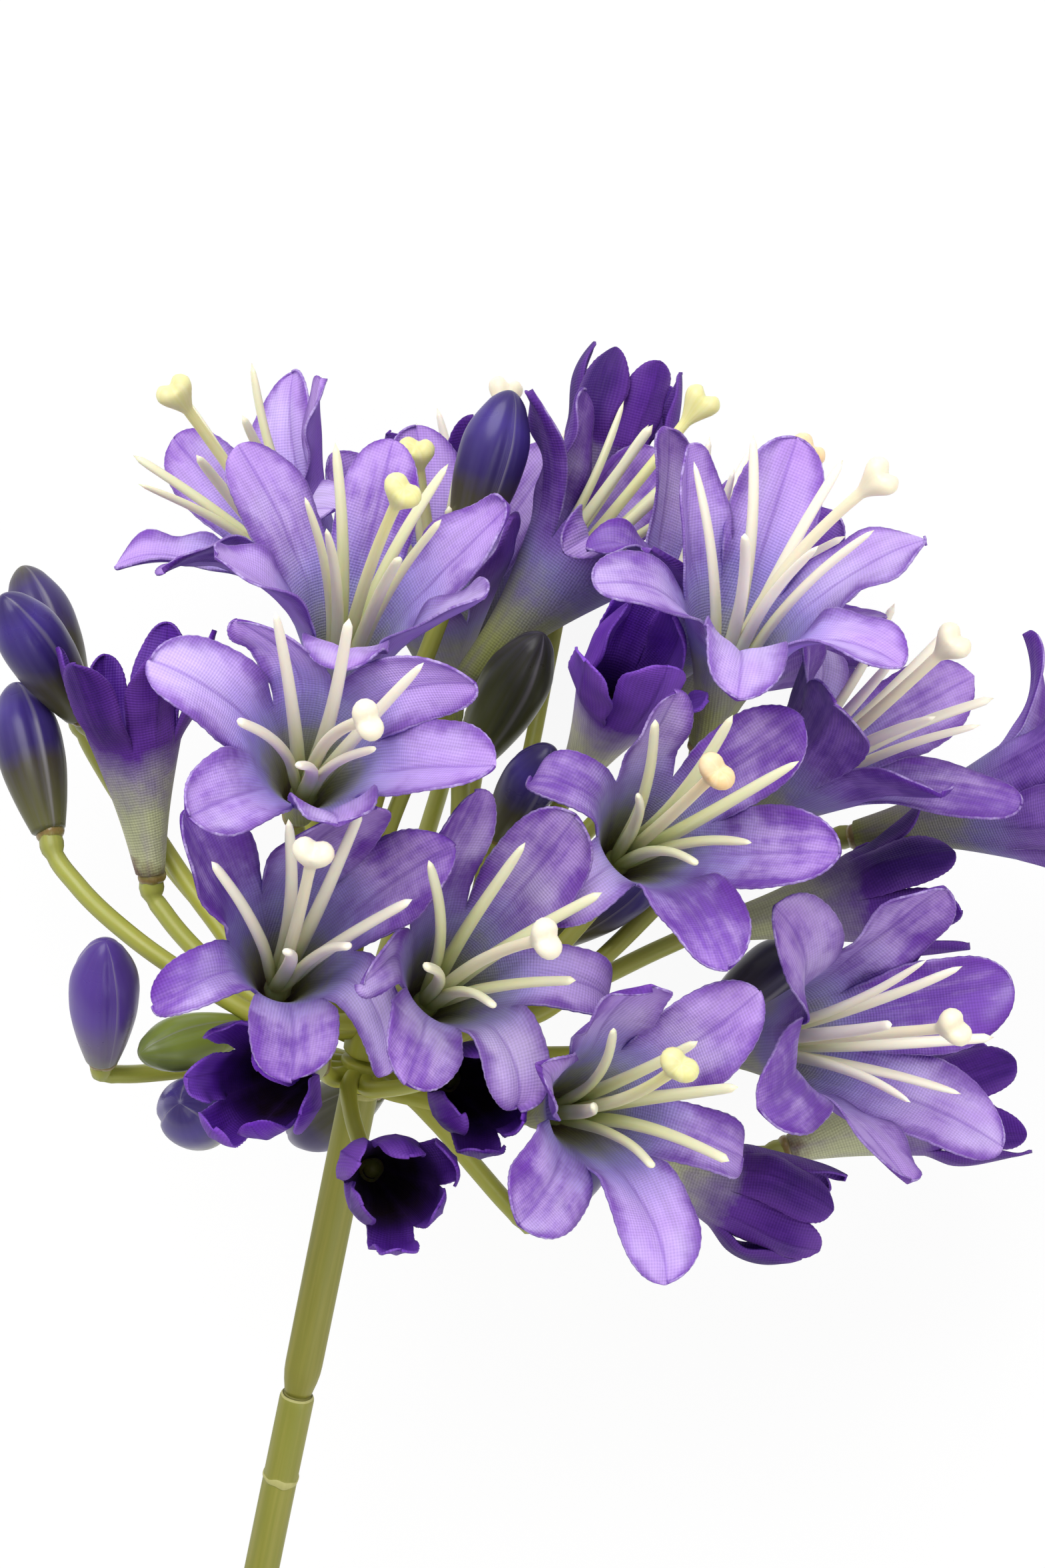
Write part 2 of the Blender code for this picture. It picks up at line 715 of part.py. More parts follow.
def stalk_choices(piece):
    """Bows and swings of a stalk, the plainest first."""
    outward = piece.base.normalized()
    side = outward.cross(Vector((0, 0, 1))).normalized()
    up = side.cross(outward).normalized()
    swings = [(0.0, Vector((0, 0, 0)))]
    for size in (0.3, 0.7, 1.2, 1.8):
        for k in range(8):
            angle = TWO_PI * k / 8
            swings.append((size, (side * math.cos(angle) + up * math.sin(angle)) * size))
    ranked = []
    for bow in (0.0, 0.1, -0.1, 0.2, 0.3):
        for size, swing in swings:
            ranked.append((abs(bow) * 5 + size, len(ranked), (bow, swing)))
    return [choice for _, _, choice in sorted(ranked)]


def make_stalks(pieces, obstacles):
    """Runs a stalk to each head, clear of the heads and, past the collars, of each other."""
    paths = {}
    for whorl in reversed(range(WHORLS)):
        kin = [piece for piece in pieces if piece.head.whorl == whorl]
        turns = root_turns(kin)
        placed = []
        for piece in kin:
            passed = {piece.label, f"collar_{whorl}"}

            def find_hits(choice):
                path = stalk_path(piece, turns[piece.label], choice)
                whole = obstacle("try", stalk_bmesh(path, GAP))
                free = obstacle("try", stalk_bmesh(path[2:], GAP))
                return touches(whole, obstacles, passed) + touches(free, placed)

            choice, hits = first_clear(stalk_choices(piece), find_hits)
            if hits:
                print("stalk to", piece.label, "still touches", hits)
            path = stalk_path(piece, turns[piece.label], choice)
            paths[piece.label] = path
            placed.append(obstacle(f"stalk_{piece.label}", stalk_bmesh(path)))
        obstacles += placed
    return paths


def make_stamens(piece, rng, obstacles):
    """Spreads the stamens of one open floret where there is room."""
    spreads = tuple(FILAMENT_SPREAD * rng.uniform(0.7, 1.1) for _ in range(LOBES))
    leans = tuple(rng.uniform(-FILAMENT_LEAN, FILAMENT_LEAN) for _ in range(LOBES))
    turn, far = math.radians(piece.head.lean[0]), piece.head.lean[1] * MM
    wanted = Fan(spreads, leans, (far * math.cos(turn), far * math.sin(turn)))

    def choices():
        for shrink in (1.0, 0.8, 0.6, 0.45, 0.3):
            for k in range(7):
                a = turn + k * TWO_PI / 7
                size = far * (shrink if k else 1)
                yield replace(
                    wanted,
                    spreads=tuple(s * shrink for s in spreads),
                    leans=tuple(n * shrink for n in leans),
                    pistil=(size * math.cos(a), size * math.sin(a)),
                )

    def find_hits(choice):
        return touches(obstacle("try", stamens_bmesh(choice, GAP), piece.matrix), obstacles, (piece.label,))

    fan, hits = first_clear(choices(), find_hits)
    if hits:
        print("stamens of", piece.label, "still touch", hits)
    piece.fan = fan
    obstacles.append(obstacle(f"stamens_{piece.head.name}", stamens_bmesh(fan), piece.matrix))


def make_lobes(piece, rng, obstacles):
    """Bends each lobe of a floret where there is room for it."""
    shell = shell_of(piece)
    lobe_label = f"lobe_{piece.label}"
    own = (piece.label, f"stalk_{piece.label}", lobe_label)
    siblings = []
    for i, wanted in enumerate(wanted_lobes(piece, rng)):

        def find_hits(choice):
            whole = obstacle("try", lobe_bmesh(shell, choice, GAP), piece.matrix)
            free = obstacle("try", lobe_bmesh(shell, choice, GAP, rooted=False), piece.matrix)
            return touches(whole, obstacles, own) + touches(free, siblings)

        lobe, hits = first_clear(lobe_choices(wanted, piece.kind == "open"), find_hits)
        if hits:
            print("lobe", i, "of", piece.label, "still touches", hits)
        piece.lobes.append(lobe)
        siblings.append(obstacle(lobe_label, lobe_bmesh(shell, lobe, rooted=False), piece.matrix))
        obstacles.append(obstacle(lobe_label, lobe_bmesh(shell, lobe), piece.matrix))


# ---------------------------------------------------------------- objects


def material(name, colour, roughness, metallic=0.0):
    """Principled material of one colour."""
    made = bpy.data.materials.new(name)
    made.use_nodes = True
    shader = made.node_tree.nodes["Principled BSDF"]
    shader.inputs["Base Color"].default_value = (*colour, 1.0)
    shader.inputs["Roughness"].default_value = roughness
    shader.inputs["Metallic"].default_value = metallic
    return made


def add_object(name, bm, matrix, finish, parent):
    """Turns a mesh into a named object under the hub."""
    bmesh.ops.recalc_face_normals(bm, faces=bm.faces)
    mesh = bpy.data.meshes.new(name)
    bm.to_mesh(mesh)
    bm.free()
    mesh.shade_smooth()
    mesh.materials.append(finish)
    made = bpy.data.objects.new(name, mesh)
    bpy.context.scene.collection.objects.link(made)
    made.parent = parent
    made.matrix_local = matrix
    return made


def turned_bmesh(levels):
    """Hollow piece around Z from the closed outline of its wall, as (radius, height) corners."""
    bm = bmesh.new()
    rings = [ring(bm, radius, height, STEM_SIDES) for radius, height in levels]
    for a, b in zip(rings, rings[1:] + rings[:1]):
        bridge(bm, a, b)
    return bm


def sleeve_bmesh(foot, top):
    """Sleeve of the stem, with the spigot below its shoulder."""
    end = foot - SPIGOT_LENGTH
    return turned_bmesh([
        (SLEEVE_RADIUS, top),
        (BORE_RADIUS, top),
        (BORE_RADIUS, end),
        (SPIGOT_RADIUS, end),
        (SPIGOT_RADIUS, foot),
        (SHOULDER_RADIUS, foot),
        (SLEEVE_RADIUS, foot + SHOULDER_LENGTH),
    ])


def tube_cover_bmesh(rim):
    """Lower tube of the stem, with the socket for the sleeve's spigot."""
    socket = SPIGOT_RADIUS + GAP
    seat = rim - SPIGOT_LENGTH
    return turned_bmesh([
        (TUBE_RADIUS, rim),
        (socket, rim),
        (socket, seat),
        (BORE_RADIUS, seat),
        (BORE_RADIUS, -STEM_LENGTH),
        (TUBE_RADIUS, -STEM_LENGTH),
    ])


def make_stem(parent, finishes):
    """Wire, lower tube and sleeve of the stem, down from the lowest collar."""
    matrix = frame_along(STEM_AXIS, Vector((0, 0, 0)))
    top = -1.5 * COLLAR_PITCH
    foot = top - SLEEVE_LENGTH
    add_object("stem_sleeve", sleeve_bmesh(foot, top), matrix, finishes["sleeve"], parent)
    add_object("stem_tube", tube_cover_bmesh(foot - GAP), matrix, finishes["tube"], parent)
    wire = bmesh.new()
    levels = [ring(wire, WIRE_RADIUS, h, WIRE_SIDES) for h in (WIRE_INSET - STEM_LENGTH, COLLAR_HEIGHT)]
    bridge(wire, *levels)
    wire.faces.new(levels[0][::-1])
    wire.faces.new(levels[1])
    add_object("stem_wire", wire, matrix, finishes["wire"], parent)


def collar_bmesh(whorl):
    """Collar of one whorl, in the hub's frame. The top one is closed over the wire."""
    middle = (whorl - 1) * COLLAR_PITCH
    low, high = middle - COLLAR_HEIGHT / 2, middle + COLLAR_HEIGHT / 2
    bm = bmesh.new()
    outer = [ring(bm, COLLAR_RADIUS, h, STEM_SIDES) for h in (low, high)]
    inner_high = high if whorl < 2 else high - COLLAR_DOME
    inner = [ring(bm, BORE_RADIUS, h, STEM_SIDES) for h in (low, inner_high)]
    bridge(bm, *outer)
    bridge(bm, *inner)
    bridge(bm, inner[0], outer[0])
    if whorl < 2:
        bridge(bm, outer[1], inner[1])
    else:
        close(bm, outer[1], (0, 0, high + COLLAR_DOME))
        bm.faces.new(inner[1])
    bm.transform(frame_along(STEM_AXIS, Vector((0, 0, 0))))
    return bm


def unite(base, others):
    """Joins objects to a base by Boolean unions and removes them."""
    for other in others:
        joint = base.modifiers.new("join", "BOOLEAN")
        joint.operation = "UNION"
        joint.solver = "EXACT"
        joint.object = other
    graph = bpy.context.evaluated_depsgraph_get()
    joined = bpy.data.meshes.new_from_object(base.evaluated_get(graph))
    base.modifiers.clear()
    base.data = joined
    for other in others:
        bpy.data.objects.remove(other)


WHORL_NAMES = ("stalk_whorl_lower", "stalk_whorl_middle", "stalk_whorl_upper")


def make_whorls(pieces, paths, parent, finishes):
    """Collars with their stalks, one object for each whorl."""
    for whorl, name in enumerate(WHORL_NAMES):
        collar = add_object(name, collar_bmesh(whorl), Matrix(), finishes["stalk"], parent)
        stalks = []
        for piece in pieces:
            if piece.head.whorl == whorl:
                bm = stalk_bmesh(paths[piece.label])
                stalks.append(add_object(f"stalk_{piece.label}", bm, Matrix(), finishes["stalk"], parent))
        unite(collar, stalks)


def make_finishes():
    """Materials of the pieces."""
    return {
        "open": material("open_floret_fabric", (0.31, 0.18, 0.66), 0.6),
        "half": material("half_open_floret_fabric", (0.09, 0.03, 0.33), 0.6),
        "stamens": material("stamen_plastic", (0.83, 0.79, 0.56), 0.45),
        "bud": material("bud_plastic", (0.06, 0.06, 0.20), 0.35),
        "green_bud": material("green_bud_plastic", (0.12, 0.16, 0.03), 0.35),
        "stalk": material("stalk_plastic", (0.36, 0.38, 0.07), 0.45),
        "sleeve": material("sleeve_plastic", (0.26, 0.27, 0.08), 0.5),
        "tube": material("tube_plastic", (0.25, 0.26, 0.07), 0.5),
        "wire": material("steel_wire", (0.45, 0.45, 0.45), 0.35, 1.0),
    }


def set_down(parent):
    """Moves the hub so that the bottom of the flower's box is centred on the origin."""
    bpy.context.view_layer.update()
    points = []
    for made in parent.children:
        points += [made.matrix_world @ v.co for v in made.data.vertices]
    low = [min(p[k] for p in points) for k in range(3)]
    high = [max(p[k] for p in points) for k in range(3)]
    parent.location = Vector((-(low[0] + high[0]) / 2, -(low[1] + high[1]) / 2, -low[2]))


def main():
    """Builds the flower."""
    for old in list(bpy.data.objects):
        bpy.data.objects.remove(old)
    hub = bpy.data.objects.new("hub", None)
    bpy.context.scene.collection.objects.link(hub)
    finishes = make_finishes()
    rng = random.Random(7)
    opens = set_out("open", OPEN_HEADS)
    halves = set_out("half", HALF_HEADS)
    buds = set_out("bud", BUD_HEADS)
    pieces = opens + halves + buds
    obstacles = []
    for whorl in range(WHORLS):
        obstacles.append(obstacle(f"collar_{whorl}", collar_bmesh(whorl)))
    stem_path = [STEM_AXIS * -STEM_LENGTH, STEM_AXIS * -1.5 * COLLAR_PITCH]
    obstacles.append(obstacle("stem", tube_bmesh(stem_path, [SLEEVE_RADIUS] * 2, 8)))
    for piece in pieces:
        hits = touches(obstacle("try", core_bmesh(piece, GAP), piece.matrix), obstacles)
        if hits:
            print(piece.label, "is in the way of", hits)
        obstacles.append(obstacle(piece.label, core_bmesh(piece), piece.matrix))
    paths = make_stalks(pieces, obstacles)
    for piece in halves:
        make_lobes(piece, rng, obstacles)
    for piece in opens:
        make_stamens(piece, rng, obstacles)
    for piece in opens:
        make_lobes(piece, rng, obstacles)
    for piece in opens:
        floret = floret_bmesh(shell_of(piece), piece.lobes)
        add_object(f"open_floret_{piece.head.name}", floret, piece.matrix, finishes["open"], hub)
        stamens = stamens_bmesh(piece.fan)
        add_object(f"stamens_{piece.head.name}", stamens, piece.matrix, finishes["stamens"], hub)
    for piece in halves:
        floret = floret_bmesh(shell_of(piece), piece.lobes)
        add_object(f"half_open_floret_{piece.head.name}", floret, piece.matrix, finishes["half"], hub)
    for piece in buds:
        bud = bud_bmesh(piece.head.size)
        finish = finishes["green_bud" if piece.head.name in GREEN_BUDS else "bud"]
        add_object(f"bud_{piece.head.name}", bud, piece.matrix, finish, hub)
    make_whorls(pieces, paths, hub, finishes)
    make_stem(hub, finishes)
    set_down(hub)


main()
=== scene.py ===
"""Looks of an artificial agapanthus flower on a cut stem, lying on a plain floor.

The flower's solids come in as a fixed frame. Every floret, stamen cluster, bud, stalk whorl and stem cover is
read back from its solid and made again as what it is: thin pressed cloth, moulded soft plastic or tube.
"""

from __future__ import annotations

import json
import logging
import math
from dataclasses import dataclass, field
from enum import Enum
from functools import cache, partial
from typing import Callable, ClassVar, Iterable, Mapping, Sequence

import bmesh
import bpy
import numpy as np
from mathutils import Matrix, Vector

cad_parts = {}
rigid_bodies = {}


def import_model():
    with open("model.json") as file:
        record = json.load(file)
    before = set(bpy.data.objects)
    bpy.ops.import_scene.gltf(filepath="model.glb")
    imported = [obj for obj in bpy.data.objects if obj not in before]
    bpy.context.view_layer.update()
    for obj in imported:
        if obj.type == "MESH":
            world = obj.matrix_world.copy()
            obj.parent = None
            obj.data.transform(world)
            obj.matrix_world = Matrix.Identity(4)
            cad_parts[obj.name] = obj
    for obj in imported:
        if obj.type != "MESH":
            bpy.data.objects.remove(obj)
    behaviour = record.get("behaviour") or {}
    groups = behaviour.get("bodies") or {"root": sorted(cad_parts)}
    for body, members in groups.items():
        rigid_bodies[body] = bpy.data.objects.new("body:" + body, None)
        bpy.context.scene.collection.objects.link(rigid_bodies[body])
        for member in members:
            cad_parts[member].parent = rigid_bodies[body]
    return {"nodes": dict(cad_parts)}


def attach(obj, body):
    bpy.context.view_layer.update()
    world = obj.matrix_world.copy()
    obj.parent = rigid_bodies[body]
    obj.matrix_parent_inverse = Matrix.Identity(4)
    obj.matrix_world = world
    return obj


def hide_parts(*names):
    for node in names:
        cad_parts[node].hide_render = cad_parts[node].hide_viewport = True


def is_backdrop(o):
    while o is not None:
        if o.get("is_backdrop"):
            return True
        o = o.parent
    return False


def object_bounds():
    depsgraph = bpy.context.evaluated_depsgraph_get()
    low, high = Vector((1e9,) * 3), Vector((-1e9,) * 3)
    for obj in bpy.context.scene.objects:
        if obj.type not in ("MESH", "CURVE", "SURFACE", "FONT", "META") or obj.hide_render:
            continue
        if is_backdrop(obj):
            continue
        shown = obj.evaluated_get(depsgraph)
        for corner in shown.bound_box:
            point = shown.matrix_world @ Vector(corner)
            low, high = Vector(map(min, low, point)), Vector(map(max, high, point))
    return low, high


MM = 0.001
MAP_UNIT = 10 * MM  # one unit of the "cloth" map, which measures distances over a piece
NOISE = (0.3, 0.7)  # the values that a noise mostly keeps to
SOLID_WELD = 0.002 * MM  # corners of a solid that are nearer than this are one
SKIN_WELD = 0.004 * MM  # and those of a piece made here
THIN_SIDES = 6  # facets of the solids round a stalk, a filament and the foot of a floret
BUD_SIDES = 9  # and round a bud
LOG = logging.getLogger("agapanthus")

SIDEWAYS = np.array([1.0, 0.0, 0.0])

Array = np.ndarray
Ramp = tuple[tuple[float, str], ...]  # places from 0 to 1, with the sRGB colour at each
Adder = Callable[..., bpy.types.Node]  # the add function, for one material
Pair = tuple[float, float]
Pairs = tuple[Pair, ...]
Place = tuple[float, float, float]


# ---- Curves and vectors ----


def unit(vectors: Array) -> Array:
    """Returns the vectors, along the last axis, at length 1."""
    return vectors / np.maximum(np.linalg.norm(vectors, axis=-1, keepdims=True), 1e-12)


def rise(at: Array, start: float, end: float) -> Array:
    """Returns how far each value has come from start to end, from 0 to 1."""
    return np.clip((at - start) / (end - start), 0, 1)


def hump(at: Array, width: float) -> Array:
    """Returns a smooth hump round 0, with 1 at its top and its width on each side."""
    return np.exp(-((at / width) ** 2))


def turns(sides: int) -> Array:
    """Returns even angles round a section."""
    return np.arange(sides) * math.tau / sides


def distances(points: Array) -> Array:
    """Returns how far along a line each of its points is."""
    return np.concatenate([[0.0], np.cumsum(np.linalg.norm(np.diff(points, axis=0), axis=1))])


def flow(knots: Sequence[float], values: Array, at: Array, first: Array | None = None) -> Array:
    """Follows a smooth curve through values.

    Args:
        knots: Rising positions of the values along the curve.
        values: A number or a row for each knot.
        at: Positions to read, between the first and the last knot.
        first: Slope of the curve at its first knot, where it is set.

    Returns:
        A number or a row for each position.
    """
    knots, values, at = (np.asarray(x, float) for x in (knots, values, at))
    shape, values = (len(at), *values.shape[1:]), values.reshape(len(knots), -1)
    steps = np.diff(knots)
    slopes = np.diff(values, axis=0) / steps[:, None]
    tangents = np.empty_like(values)
    share = (steps[1:] / (steps[:-1] + steps[1:]))[:, None]
    tangents[1:-1] = slopes[:-1] * share + slopes[1:] * (1 - share)
    tangents[0] = (1.5 * slopes[0] - 0.5 * tangents[1]) if first is None else first
    tangents[-1] = 1.5 * slopes[-1] - 0.5 * tangents[-2]
    span = np.clip(np.searchsorted(knots, at, side="right") - 1, 0, len(steps) - 1)
    t, width = ((at - knots[span]) / steps[span])[:, None], steps[span][:, None]
    curve = values[span] * (2 * t**3 - 3 * t**2 + 1) + tangents[span] * width * (t**3 - 2 * t**2 + t)
    curve += values[span + 1] * (3 * t**2 - 2 * t**3) + tangents[span + 1] * width * (t**3 - t**2)
    return curve.reshape(shape)


def carried_frames(points: Array, start: Array) -> tuple[Array, Array]:
    """Carries a cross-section along a curve without turning it about the curve.

    Args:
        points: The curve's points.
        start: Direction that the section's first axis should have at the first point.

    Returns:
        The section's two axes at each point.
    """
    first, second, side = np.empty_like(points), np.empty_like(points), start
    for i, tangent in enumerate(unit(np.gradient(points, axis=0))):
        side = unit(side - tangent * (side @ tangent))
        first[i], second[i] = side, np.cross(tangent, side)
    return first, second


# ---- Reading the frame's solids ----


class Solid:
    """A frame node's corners and how they join, with the corners that faces share made one."""

    def __init__(self, node: bpy.types.Object) -> None:
        """Reads a frame node.

        Args:
            node: The frame node.
        """
        welded = bmesh.new()
        welded.from_mesh(node.data)
        bmesh.ops.remove_doubles(welded, verts=welded.verts, dist=SOLID_WELD)
        welded.verts.index_update()
        self.points = np.array([v.co for v in welded.verts])
        self.joins = [{e.other_vert(v).index for e in v.link_edges} for v in welded.verts]
        welded.free()

    def levels(self, start: set[int] | list[int], within: set[int] | None = None) -> list[list[int]]:
        """Walks over the solid in steps of one edge.

        Args:
            start: Corners of the first level.
            within: Corners that the walk may use, or None for all of them.

        Returns:
            The corners of each level.
        """
        seen, level, found = set(start), set(start), []
        while level:
            found.append(sorted(level))
            level = set().union(*(self.joins[i] for i in level)) - seen
            level = level if within is None else level & within
            seen |= level
        return found

    def groups(self, used: set[int]) -> list[set[int]]:
        """Finds the connected groups among the corners that are left.

        Args:
            used: The corners that belong to something already.

        Returns:
            The groups.
        """
        left, found = set(range(len(self.points))) - used, []
        while left:
            found.append(set().union(*self.levels([next(iter(left))], left)))
            left -= found[-1]
        return found

    def caps(self, sides: int) -> list[tuple[int, float]]:
        """Finds the corners in the middle of a regular ring.

        Args:
            sides: Corners in the ring.

        Returns:
            Each such corner and its distance from its ring.
        """
        found = []
        for i, ring in enumerate(self.joins):
            if len(ring) == sides:
                reach = np.linalg.norm(self.points[sorted(ring)] - self.points[i], axis=1)
                if np.ptp(reach) < 0.02 * reach.mean():
                    found.append((i, float(reach.mean())))
        return found

    def middle(self, corners: Iterable[int]) -> Array:
        """Returns the middle of some corners."""
        return self.points[sorted(corners)].mean(axis=0)


# ---- Making pieces ----


class Skin:
    """Grids of points that together make one surface."""

    def __init__(self) -> None:
        """Starts with no grids."""
        self.grids: list[tuple[Array, ...]] = []
        self.count = 0

    def grid(self, points: Array, cloth: tuple[Array, Array], form: tuple[Array, Array], closed: bool = False,
             slot: int = 0) -> None:
        """Adds a grid of faces.

        Args:
            points: Rows by columns of points.
            cloth: Distances over the surface, across and along.
            form: Place on the piece, across and along, as shares.
            closed: True for a tube, where the last column joins the first and the faces look out.
            slot: Material slot of the faces.
        """
        rows, columns = points.shape[:2]
        index = np.arange(rows * columns).reshape(rows, columns) + self.count
        index = np.hstack([index, index[:, :1]]) if closed else index
        corners = (index[:-1, :-1], index[:-1, 1:], index[1:, 1:], index[1:, :-1])
        quads = np.stack([corner.ravel() for corner in corners[:: 1 if closed else -1]], axis=1)
        maps = (np.stack([np.broadcast_to(side, (rows, columns)).ravel() for side in pair], axis=1)
                for pair in (cloth, form))
        self.grids.append((points.reshape(-1, 3), quads, np.full(len(quads), slot), *maps))
        self.count += rows * columns

    def tube(self, spine: Array, radii: Array, sides: int, form: Array | float, start: Array,
             shape: Array | float = 1.0, slot: int = 0, shift: Array | float = 0.0) -> None:
        """Adds a round surface along a curve.

        Args:
            spine: Points of the curve.
            radii: Radius at each point.
            sides: Faces round the curve.
            form: Share along the piece at each point.
            start: Direction of the section's first axis at the start.
            shape: Factors on the radius, for each side or rows by sides.
            slot: Material slot of the faces.
            shift: How far the points move along the curve, rows by sides.
        """
        first, second = carried_frames(spine, start)
        turn = turns(sides)
        reach = radii[:, None] * np.broadcast_to(shape, (len(spine), sides))
        ring = first[:, None] * np.cos(turn)[:, None] + second[:, None] * np.sin(turn)[:, None]
        points = spine[:, None] + ring * reach[..., None]
        points += np.cross(first, second)[:, None] * np.broadcast_to(shift, reach.shape)[..., None]
        cloth = (turn * float(np.max(radii)), distances(spine)[:, None])
        self.grid(points, cloth, (turn / math.tau, np.reshape(form, (-1, 1))), closed=True, slot=slot)

    def piece(self, name: str) -> bpy.types.Object:
        """Makes an object with smooth faces from the grids.

        Args:
            name: Name of the piece.

        Returns:
            The piece, in the scene.
        """
        points, faces, slots, cloth, form = (np.concatenate(parts) for parts in zip(*self.grids))
        mesh = bpy.data.meshes.new(name)
        mesh.from_pydata(points.tolist(), [], faces.tolist())
        for title, values in (("cloth", cloth / MAP_UNIT), ("form", form)):
            layer = mesh.uv_layers.new(name=title)
            layer.data.foreach_set("uv", values[faces.ravel()].ravel().astype(np.float32))
        mesh.polygons.foreach_set("material_index", slots.astype(np.int32))
        mesh.polygons.foreach_set("use_smooth", np.ones(len(faces), bool))
        welded = bmesh.new()
        welded.from_mesh(mesh)
        bmesh.ops.remove_doubles(welded, verts=welded.verts, dist=SKIN_WELD)
        welded.to_mesh(mesh)
        welded.free()
        piece = bpy.data.objects.new(name, mesh)
        bpy.context.scene.collection.objects.link(piece)
        return piece


# ---- Finishes ----


def linear(colour: str) -> tuple[float, float, float, float]:
    """Turns an sRGB hex colour to linear light.

    Args:
        colour: Six hex digits after a #.

    Returns:
        Red, green, blue and an alpha of 1.
    """
    parts = [int(colour[i : i + 2], 16) / 255 for i in (1, 3, 5)]
    light = [p / 12.92 if p <= 0.04045 else ((p + 0.055) / 1.055) ** 2.4 for p in parts]
    return (light[0], light[1], light[2], 1.0)


def add(tree: bpy.types.NodeTree, kind: str, *inputs: object, named: Mapping[str, object] | None = None,
        stops: Ramp = (), **settings: object) -> bpy.types.Node:
    """Adds a node with its settings and links.

    Args:
        tree: Tree that gets the node.
        kind: The node's type, without ShaderNode in front.
        inputs: What its inputs take, in their order: a value, a colour in hex, a socket, or a node whose
            first output is meant.
        named: The same for inputs by name.
        stops: Places and colours of a colour ramp.
        settings: The node's own properties.

    Returns:
        The node.
    """
    node = tree.nodes.new("ShaderNode" + kind)
    for name, value in settings.items():
        setattr(node, name, value)
    for i, (place, colour) in enumerate(stops):
        element = node.color_ramp.elements[i] if i < 2 else node.color_ramp.elements.new(place)
        element.position, element.color = place, linear(colour)
    takes = [*zip((socket for socket in node.inputs if socket.enabled), inputs)]
    takes += [(node.inputs[name], source) for name, source in (named or {}).items()]
    for socket, source in takes:
        if isinstance(source, bpy.types.Node):
            source = next(output for output in source.outputs if output.enabled)
        if isinstance(source, bpy.types.NodeSocket):
            tree.links.new(source, socket)
        else:
            socket.default_value = linear(source) if isinstance(source, str) else source
    return node


@dataclass(frozen=True)
class Finish:
    """What a surface is made of and how it was finished."""

    name: str

    @cache
    def material(self) -> bpy.types.Material:
        """Makes the finish's material, the first time that it is asked for.

        Returns:
            The material.
        """
        material = bpy.data.materials.new(self.name)
        material.use_nodes = True
        material.node_tree.nodes.clear()
        add(material.node_tree, "OutputMaterial", self.shader(partial(add, material.node_tree)))
        return material

    def shader(self, node: Adder) -> bpy.types.Node:
        """Makes the finish's shader, with the nodes that lead to it.

        Args:
            node: Adds a node to the finish's material.

        Returns:
            The shader.
        """
        raise NotImplementedError


